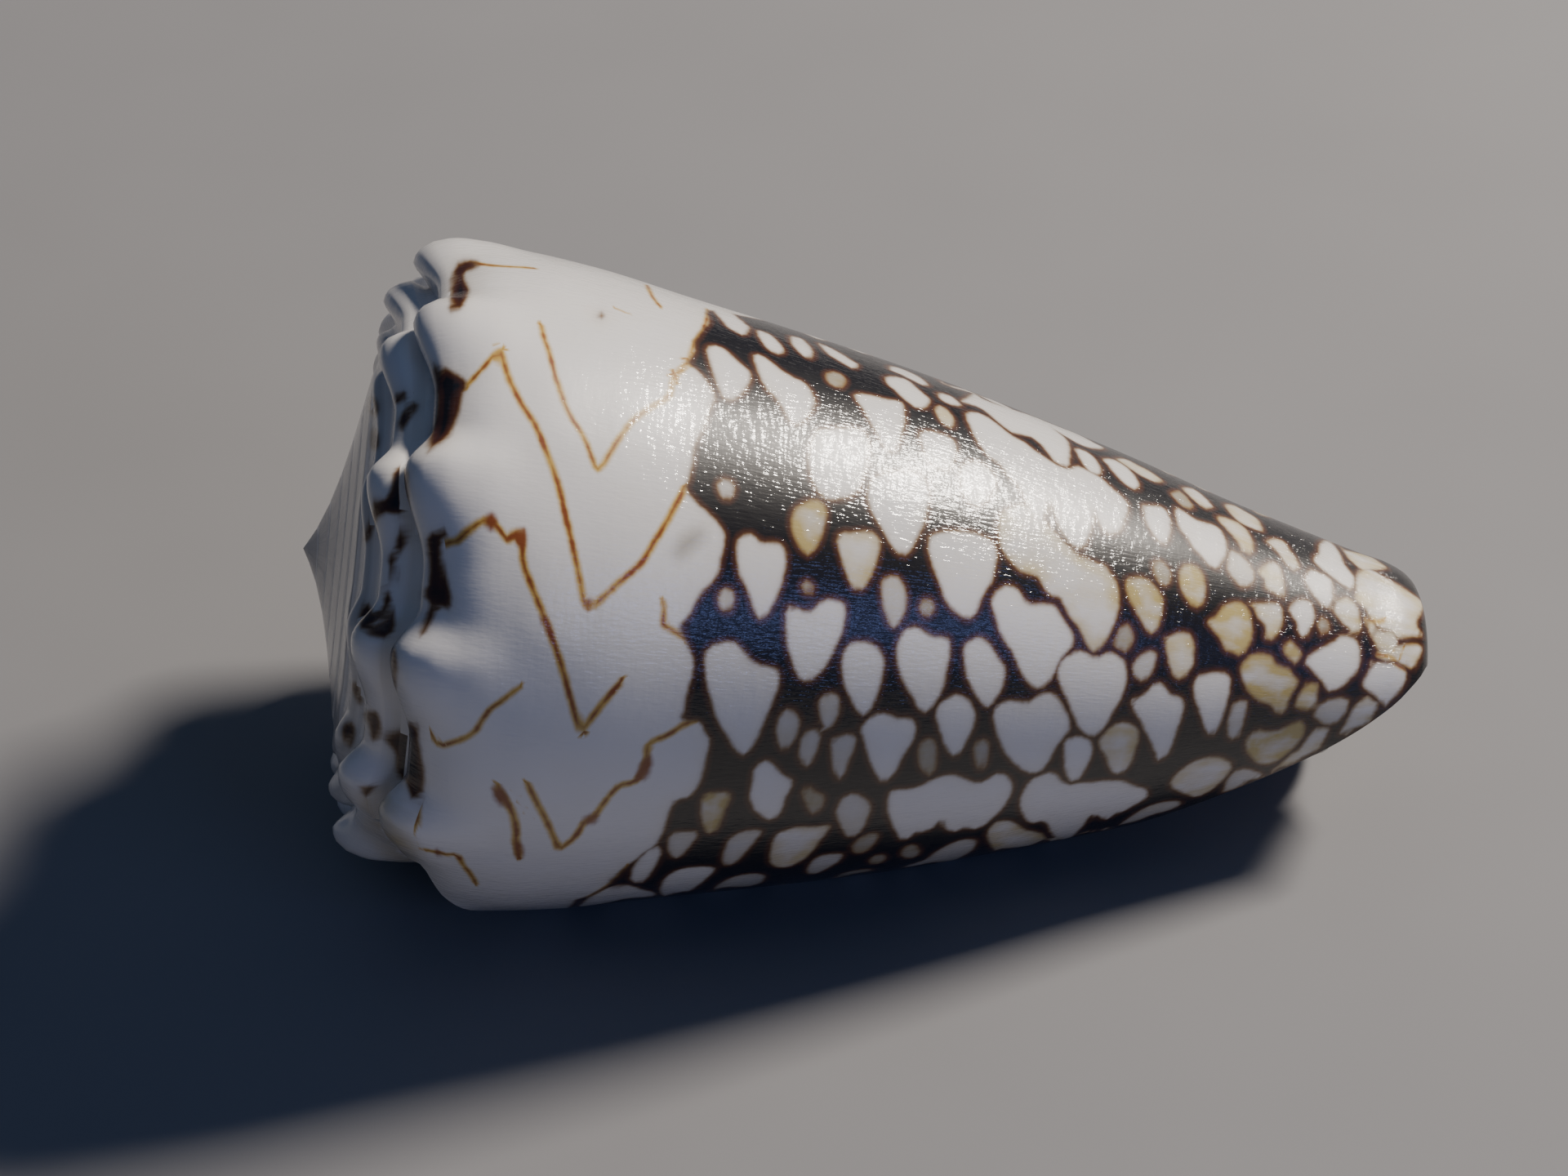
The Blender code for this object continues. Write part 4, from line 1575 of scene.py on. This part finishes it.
    def lay(self) -> dict[str, Array]:
        """Draw every marking.

        Returns:
            One value for every point of the mesh under each field's name.
        """
        self.add_zone()
        for tone, texts in TENTS.items():
            for text in texts:
                self.add_tent(self.laid_down(text), tone)
        self.add_hidden_tents()
        self.add_threads()
        self.add_blotches()
        self.add_spire_blotches()
        spiral = self.surface.section.spiral
        wear = 1.0 - spiral.relief(self.turn / TURN)
        self.fields["wear"] = np.where(self.on_side, 0.0, wear)
        unmarked = dict.fromkeys(("thread_half", "warm", "dim", "wear"), 0.0)
        unmarked.update(dict.fromkeys(("zone", "thread_side", "thread_gap"), self.far))
        values = {}
        for name, field in self.fields.items():
            values[name] = np.full(self.surface.count, unmarked.get(name, -self.far))
            values[name][self.numbers] = field
        size = spiral.growth(self.surface.age)
        values["around"] = self.surface.age * TURN * self.ring_radius * size
        values["along"] = self.surface.run / MM * size
        return values


@dataclass(frozen=True)
class PorcelainShell:
    """Outside of a cone shell: aragonite laid down in thin layers and polished by wear.

    The eye gets a hard wet gloss, a warm white under blackish brown, thin yellow to
    rust edges where one colour thins out over the other, and a fine woven sparkle
    from growth lines crossed by spiral threads.

    Names that end in _mm are millimetres on the shell. A pair is a grain's size round
    and along the shell, or the depths into a marking between which its edge fades.
    """

    white: str = "EBE8E6"
    cream: str = "CFB974"
    olive: str = "6E675A"
    ochre: str = "CDA852"
    rim: str = "7A5A30"
    rust: str = "8C4A20"
    edge_brown: str = "4A260F"
    ground: str = "0E0807"
    worn: str = "ABA8A6"
    ior: float = 1.5
    gloss: float = 0.36
    worn_gloss: float = 0.5
    coat: float = 0.85
    coat_gloss: float = 0.09
    coat_relief: float = 1.0
    under_relief: float = 0.15
    # Growth lines are estimated at 0.1 mm apart, too fine to show in the render, so they
    # are drawn 0.2 mm apart and higher. The 0.6 mm of the threads is an estimate too.
    growth_line_mm: tuple = (0.2, 0.9)
    swell_mm: tuple = (1.1, 9.0)
    thread_mm: tuple = (1.6, 0.6)
    thread_share: float = 0.8
    line_height_mm: float = 0.06
    edge_grain_mm: tuple = (0.8, 0.8)
    edge_wobble_mm: float = 0.22
    cloud_mm: tuple = (2.2, 3.2)
    cloud_strength: float = 4.5
    least_warmth: float = 0.03
    core_mm: tuple = (-0.3, -1.3)
    core_fade: float = 0.6
    fringe_mm: tuple = (-0.55, 0.05)
    fringe: float = 0.2
    line_end_mm: float = 0.28
    line_edge_mm: tuple = (-0.22, 0.14)
    rust_grain_mm: tuple = (1.6, 1.6)
    rust_wander_mm: float = 0.5
    rust_edge_mm: tuple = (0.0, 0.28)
    knot_edge_mm: tuple = (-0.3, 0.2)
    ground_edge_mm: tuple = (-0.27, 0.1)
    brown_depth_mm: float = 0.15
    ground_depth_mm: float = 0.48
    fine_detail: float = 3.0

    def build(self) -> bpy.types.Material:
        """Make the material.

        Returns:
            The material.
        """
        material = bpy.data.materials.new("porcelain_shell")
        material.use_nodes = True
        tree = material.node_tree
        surface = tree.nodes["Principled BSDF"]
        fields = {name: add_node(tree, "Attribute", {"attribute_name": name}, output="Fac")
                  for name in SHADER_FIELDS}
        place = add_node(tree, "CombineXYZ", links={"X": fields["around"], "Y": fields["along"]})
        rough = add_node(tree, "MapRange", links={
            "Value": fields["wear"], "To Min": self.gloss, "To Max": self.worn_gloss})
        tree.links.new(self.colour(tree, fields, place), surface.inputs["Base Color"])
        tree.links.new(self.relief(tree, place, self.under_relief), surface.inputs["Normal"])
        tree.links.new(self.relief(tree, place, self.coat_relief), surface.inputs["Coat Normal"])
        tree.links.new(rough, surface.inputs["Roughness"])
        surface.inputs["IOR"].default_value = self.ior
        surface.inputs["Coat Weight"].default_value = self.coat
        surface.inputs["Coat Roughness"].default_value = self.coat_gloss
        return material

    @staticmethod
    def grain(tree: Tree, place: Socket,
              sizes: tuple[float, float], detail: float = 2.0) -> Socket:
        """Irregular grain that swings about zero.

        Args:
            tree: the node tree.
            place: place on the shell in millimetres.
            sizes: the grain's millimetres round the shell and along it.
            detail: how much finer grain lies on it.

        Returns:
            The grain's value, from about -0.5 to 0.5.
        """
        scale = (1.0 / sizes[0], 1.0 / sizes[1], 1.0)
        stretched = add_node(tree, "Mapping", links={"Vector": place, "Scale": scale})
        grain = add_node(tree, "TexNoise", links={"Vector": stretched, "Scale": 1.0, "Detail": detail})
        return add_node(tree, "Math", {"operation": "SUBTRACT"}, {0: grain, 1: 0.5})

    def wander(self, tree: Tree, place: Socket,
               depth: Socket) -> Socket:
        """Let the edge of a marking wander a little.

        Args:
            tree: the node tree.
            place: place on the shell in millimetres.
            depth: millimetres into the marking.

        Returns:
            The depth with the edge's irregular wander.
        """
        grain = self.grain(tree, place, self.edge_grain_mm, self.fine_detail)
        wobble = add_node(tree, "Math", {"operation": "MULTIPLY"}, {0: grain, 1: self.edge_wobble_mm})
        return add_node(tree, "Math", {"operation": "ADD"}, {0: depth, 1: wobble})

    def darkness(self, tree: Tree, fields: dict[str, Socket],
                 place: Socket) -> Socket:
        """Measure how deep a place lies in the dark colour.

        Args:
            tree: the node tree.
            fields: the fields laid on the mesh.
            place: place on the shell in millimetres.

        Returns:
            Millimetres into the dark colour, negative in the white.
        """
        white = fields["zone"]
        for name in TENT_SHEETS:
            white = add_node(tree, "Math", {"operation": "MAXIMUM"}, {0: white, 1: fields[name]})
        dark = add_node(tree, "Math", {"operation": "MULTIPLY"}, {0: white, 1: -1.0})
        dark = add_node(tree, "Math", {"operation": "MAXIMUM"}, {0: fields["patch"], 1: dark})
        return self.wander(tree, place, dark)

    def line_depth(self, tree: Tree, fields: dict[str, Socket],
                   place: Socket) -> Socket:
        """Measure how deep a place lies in a zigzag line.

        Args:
            tree: the node tree.
            fields: the fields laid on the mesh.
            place: place on the shell in millimetres.

        Returns:
            Millimetres into the line, negative outside it.
        """
        side = add_node(tree, "Math", {"operation": "ABSOLUTE"}, {0: fields["thread_side"]})
        past = add_node(tree, "Math", {"operation": "SUBTRACT"}, {
            0: fields["thread_gap"], 1: self.line_end_mm})
        away = add_node(tree, "Math", {"operation": "MAXIMUM"}, {0: side, 1: past})
        depth = add_node(tree, "Math", {"operation": "SUBTRACT"}, {0: fields["thread_half"], 1: away})
        return self.wander(tree, place, depth)

    def warmth(self, tree: Tree, fields: dict[str, Socket],
               place: Socket, core: Socket) -> Socket:
        """Share of cream in the white: cloudy, and weaker in the core of a tent.

        Args:
            tree: the node tree.
            fields: the fields laid on the mesh.
            place: place on the shell in millimetres.
            core: 1 in the core of a tent, 0 at its edge.

        Returns:
            The share of cream.
        """
        cloud = self.grain(tree, place, self.cloud_mm, self.fine_detail)
        cloud = add_node(tree, "Math", {"operation": "MULTIPLY"}, {0: cloud, 1: self.cloud_strength})
        cloud = add_node(tree, "Math", {"operation": "MULTIPLY"}, {0: cloud, 1: fields["warm"]})
        cloud = add_node(tree, "Math", {"operation": "ADD"}, {0: cloud, 1: self.least_warmth})
        warm = add_node(tree, "Math", {"operation": "ADD"}, {0: fields["warm"], 1: cloud})
        faded = add_node(tree, "Math", {"operation": "MULTIPLY"}, {0: core, 1: self.core_fade})
        kept = add_node(tree, "Math", {"operation": "SUBTRACT"}, {0: 1.0, 1: faded})
        return add_node(tree, "Math", {"operation": "MULTIPLY"}, {0: warm, 1: kept})

    def colour(self, tree: Tree, fields: dict[str, Socket],
               place: Socket) -> Socket:
        """Lay the colours over each other, from the white to the dark ground.

        Args:
            tree: the node tree.
            fields: the fields laid on the mesh.
            place: place on the shell in millimetres.

        Returns:
            The colour of the surface.
        """
        dark = self.darkness(tree, fields, place)
        depth = self.line_depth(tree, fields, place)
        redder = add_node(tree, "Math", {"operation": "MULTIPLY"}, {
            0: self.grain(tree, place, self.rust_grain_mm), 1: self.rust_wander_mm})
        redder = add_node(tree, "Math", {"operation": "ADD"}, {0: depth, 1: redder})
        knot = self.wander(tree, place, fields["knot"])
        edges = {"core": (dark, self.core_mm), "fringe": (dark, self.fringe_mm),
                 "rust": (redder, self.rust_edge_mm), "line": (depth, self.line_edge_mm),
                 "knot": (knot, self.knot_edge_mm), "ground": (dark, self.ground_edge_mm)}
        share = {}
        for name, (value, (start, end)) in edges.items():
            share[name] = add_node(tree, "MapRange", {"interpolation_type": "SMOOTHSTEP"}, {
                "Value": value, "From Min": start, "From Max": end})
        fringe = add_node(tree, "Math", {"operation": "MULTIPLY"}, {0: share["fringe"], 1: self.fringe})
        line = add_node(tree, "Mix", {"data_type": "RGBA"}, {
            0: share["rust"], 6: from_hex(self.ochre), 7: from_hex(self.rust)}, 2)
        layers = (
            (self.warmth(tree, fields, place, share["core"]), from_hex(self.cream)),
            (fields["wear"], from_hex(self.worn)),
            (fields["dim"], from_hex(self.olive)),
            (fringe, from_hex(self.rim)),
            (share["line"], line),
            (share["knot"], from_hex(self.rust)),
            (share["ground"], self.ground_colour(tree, dark)),
        )
        colour = from_hex(self.white)
        for cover, paint in layers:
            colour = add_node(tree, "Mix", {"data_type": "RGBA"}, {0: cover, 6: colour, 7: paint}, 2)
        return colour

    def ground_colour(self, tree: Tree,
                      dark: Socket) -> Socket:
        """Colour of the dark ground, browner where it thins out at its edge.

        Args:
            tree: the node tree.
            dark: millimetres into the dark colour.

        Returns:
            The ground's colour.
        """
        colour = add_node(tree, "ValToRGB", links={"Fac": dark}, output="Color")
        stops = colour.node.color_ramp.elements
        stops[0].color = from_hex(self.rim)
        stops[1].color = from_hex(self.ground)
        stops[1].position = self.ground_depth_mm
        stops.new(self.brown_depth_mm).color = from_hex(self.edge_brown)
        return colour

    def relief(self, tree: Tree, place: Socket,
               strength: float) -> Socket:
        """Growth lines that run along the shell, and threads that run round it.

        Args:
            tree: the node tree.
            place: place on the shell in millimetres.
            strength: share of the relief's full height.

        Returns:
            The bent normal.
        """
        lines = self.grain(tree, place, self.growth_line_mm)
        swell = self.grain(tree, place, self.swell_mm)
        threads = self.grain(tree, place, self.thread_mm)
        height = add_node(tree, "Math", {"operation": "ADD"}, {0: lines, 1: swell})
        threads = add_node(tree, "Math", {"operation": "MULTIPLY"}, {0: threads, 1: self.thread_share})
        height = add_node(tree, "Math", {"operation": "ADD"}, {0: height, 1: threads})
        height = add_node(tree, "Math", {"operation": "MULTIPLY"}, {
            0: height, 1: self.line_height_mm * MM})
        return add_node(tree, "Bump", links={"Height": height, "Strength": strength, "Distance": 1.0})


@dataclass(frozen=True)
class PorcelainInside:
    """Inside of the aperture: smooth aragonite, laid down last and never worn.

    The eye gets a milky, glossy white with faint bluish clouds and no markings.
    """

    white: str = "EFEAE4"
    blue: str = "D9DADF"
    ior: float = 1.6
    gloss: float = 0.2
    cloud_mm: float = 25 / 3

    def build(self) -> bpy.types.Material:
        """Make the material."""
        return clouded("porcelain_inside", self.white, self.blue, self.cloud_mm, self.gloss, self.ior)


@dataclass
class Shell:
    """The cone shell: its surface, its markings and its finishes."""

    surface: ShellSurface
    view: PhotoView
    apex: Vector
    sharp_angle: float = math.radians(50)

    def build(self) -> bpy.types.Object:
        """Make the shell and dress it.

        Returns:
            The dressed shell.
        """
        mesh = self.surface.build(self.apex)
        markings = Markings(self.surface, self.view, self.apex)
        for name, values in markings.lay().items():
            layer = mesh.attributes.new(name, "FLOAT", "POINT")
            layer.data.foreach_set("value", np.ascontiguousarray(values, dtype=np.float32))
        indices = np.ones(len(mesh.polygons), dtype=np.int32)
        indices[:self.surface.outer_faces] = 0
        mesh.polygons.foreach_set("material_index", indices)
        mesh.materials.append(PorcelainShell().build())
        mesh.materials.append(PorcelainInside().build())
        self.tidy(mesh)
        mesh.shade_smooth()
        mesh.set_sharp_from_angle(angle=self.sharp_angle)
        shell = bpy.data.objects.new("shell_dressed", mesh)
        bpy.context.scene.collection.objects.link(shell)
        return shell

    @staticmethod
    def tidy(mesh: bpy.types.Mesh) -> None:
        """Turn the faces outward and drop loose points.

        Args:
            mesh: the mesh to tidy.
        """
        work = bmesh.new()
        work.from_mesh(mesh)
        loose = [vert for vert in work.verts if not vert.link_faces]
        bmesh.ops.delete(work, geom=loose, context="VERTS")
        bmesh.ops.recalc_face_normals(work, faces=work.faces)
        if work.calc_volume(signed=True) < 0:
            bmesh.ops.reverse_faces(work, faces=work.faces)
        work.to_mesh(mesh)
        work.free()


@dataclass(frozen=True)
class PlasterFloor:
    """Plain pale floor of smooth cast plaster.

    The eye gets a matt pale grey that only shows the soft shadow.
    """

    colour: str = "8D8C8D"
    speck: str = "868586"
    size: float = 4.0
    cloud_mm: float = 25.0
    gloss: float = 0.8
    ior: float = 1.5

    def build(self) -> bpy.types.Object:
        """Make the floor with its finish.

        Returns:
            The floor.
        """
        half = self.size / 2
        mesh = bpy.data.meshes.new("floor")
        corners = [(-half, -half, 0.0), (half, -half, 0.0), (half, half, 0.0), (-half, half, 0.0)]
        mesh.from_pydata(corners, [], [(0, 1, 2, 3)])
        mesh.materials.append(
            clouded("matt_plaster", self.colour, self.speck, self.cloud_mm, self.gloss, self.ior))
        floor = bpy.data.objects.new("floor", mesh)
        bpy.context.scene.collection.objects.link(floor)
        return floor


@dataclass(frozen=True)
class StudioLight:
    """Soft studio light: a warm key, a cool fill, a broad overhead and a pale room.

    Turns go round from the right, heights up from the floor; sizes are metres, powers watts.
    """

    key_turn: float = math.radians(30.0)
    key_height: float = math.radians(44.5)
    key_size: tuple = (0.2, 0.08)
    key_power: float = 10.5
    fill_turn: float = math.radians(-47.0)
    fill_height: float = math.radians(25.0)
    fill_size: tuple = (0.42, 0.10)
    fill_power: float = 0.55
    fill_colour: str = "94ACFF"
    distance: float = 0.8
    top_place: tuple = (0.0, 0.15, 1.0)
    top_size: tuple = (1.2, 1.2)
    top_power: float = 0.5
    top_colour: str = "CFE0FF"
    key_colour: str = "FFF6EA"
    room: str = "8CAEEA"
    room_strength: float = 0.095

    def toward(self, turn: float, height: float) -> Vector:
        """Place of a lamp.

        Args:
            turn: its turn about the vertical, in radians.
            height: its height angle, in radians.

        Returns:
            The place, in metres.
        """
        flat = math.cos(height)
        return Vector((flat * math.cos(turn), flat * math.sin(turn), math.sin(height))) * self.distance

    def lamp(self, name: str, place: Vector, size: tuple[float, float], power: float,
             colour: str) -> bpy.types.Object:
        """Hang a flat lamp that faces the shell.

        Args:
            name: the lamp's name.
            place: where it hangs, in metres.
            size: its width and height, in metres.
            power: its power, in watts.
            colour: colour of its light.

        Returns:
            The lamp.
        """
        data = bpy.data.lights.new(name, "AREA")
        data.shape = "RECTANGLE"
        data.size, data.size_y = size
        data.energy = power
        data.color = from_hex(colour)[:3]
        lamp = bpy.data.objects.new(name, data)
        lamp.location = place
        lamp.rotation_mode = "QUATERNION"
        lamp.rotation_quaternion = place.to_track_quat("Z", "Y")
        bpy.context.scene.collection.objects.link(lamp)
        return lamp

    def build(self) -> None:
        """Hang the lamps and colour the room."""
        self.lamp("key", self.toward(self.key_turn, self.key_height), self.key_size,
                  self.key_power, self.key_colour)
        self.lamp("fill", self.toward(self.fill_turn, self.fill_height), self.fill_size,
                  self.fill_power, self.fill_colour)
        self.lamp("overhead", Vector(self.top_place), self.top_size, self.top_power,
                  self.top_colour)
        world = bpy.data.worlds.new("room")
        world.use_nodes = True
        background = world.node_tree.nodes["Background"]
        background.inputs["Color"].default_value = from_hex(self.room)
        background.inputs["Strength"].default_value = self.room_strength
        bpy.context.scene.world = world


def apex_of(node: bpy.types.Object, slope: float) -> Vector:
    """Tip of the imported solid: its furthest point up the axis.

    Args:
        node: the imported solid.
        slope: tilt of the shell's axis, in radians.

    Returns:
        The tip.
    """
    along = Vector((-math.cos(slope), 0.0, math.sin(slope)))
    return max((vert.co.copy() for vert in node.data.vertices), key=lambda place: place.dot(along))


def main() -> None:
    """Build the shell, then the floor, the light and the camera."""
    logging.basicConfig(level=logging.INFO)
    surface = ShellSurface()
    view = PhotoView()
    apex = apex_of(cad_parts["shell"], surface.slope)
    shell = Shell(surface, view, apex).build()
    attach(shell, "root")
    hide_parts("shell")
    LOG.info("shell_dressed: %d faces", len(shell.data.polygons))
    floor = PlasterFloor().build()
    StudioLight().build()
    view.build(apex)
    LOG.info("floor, light and camera are in place")


if __name__ == "__main__":
    main()
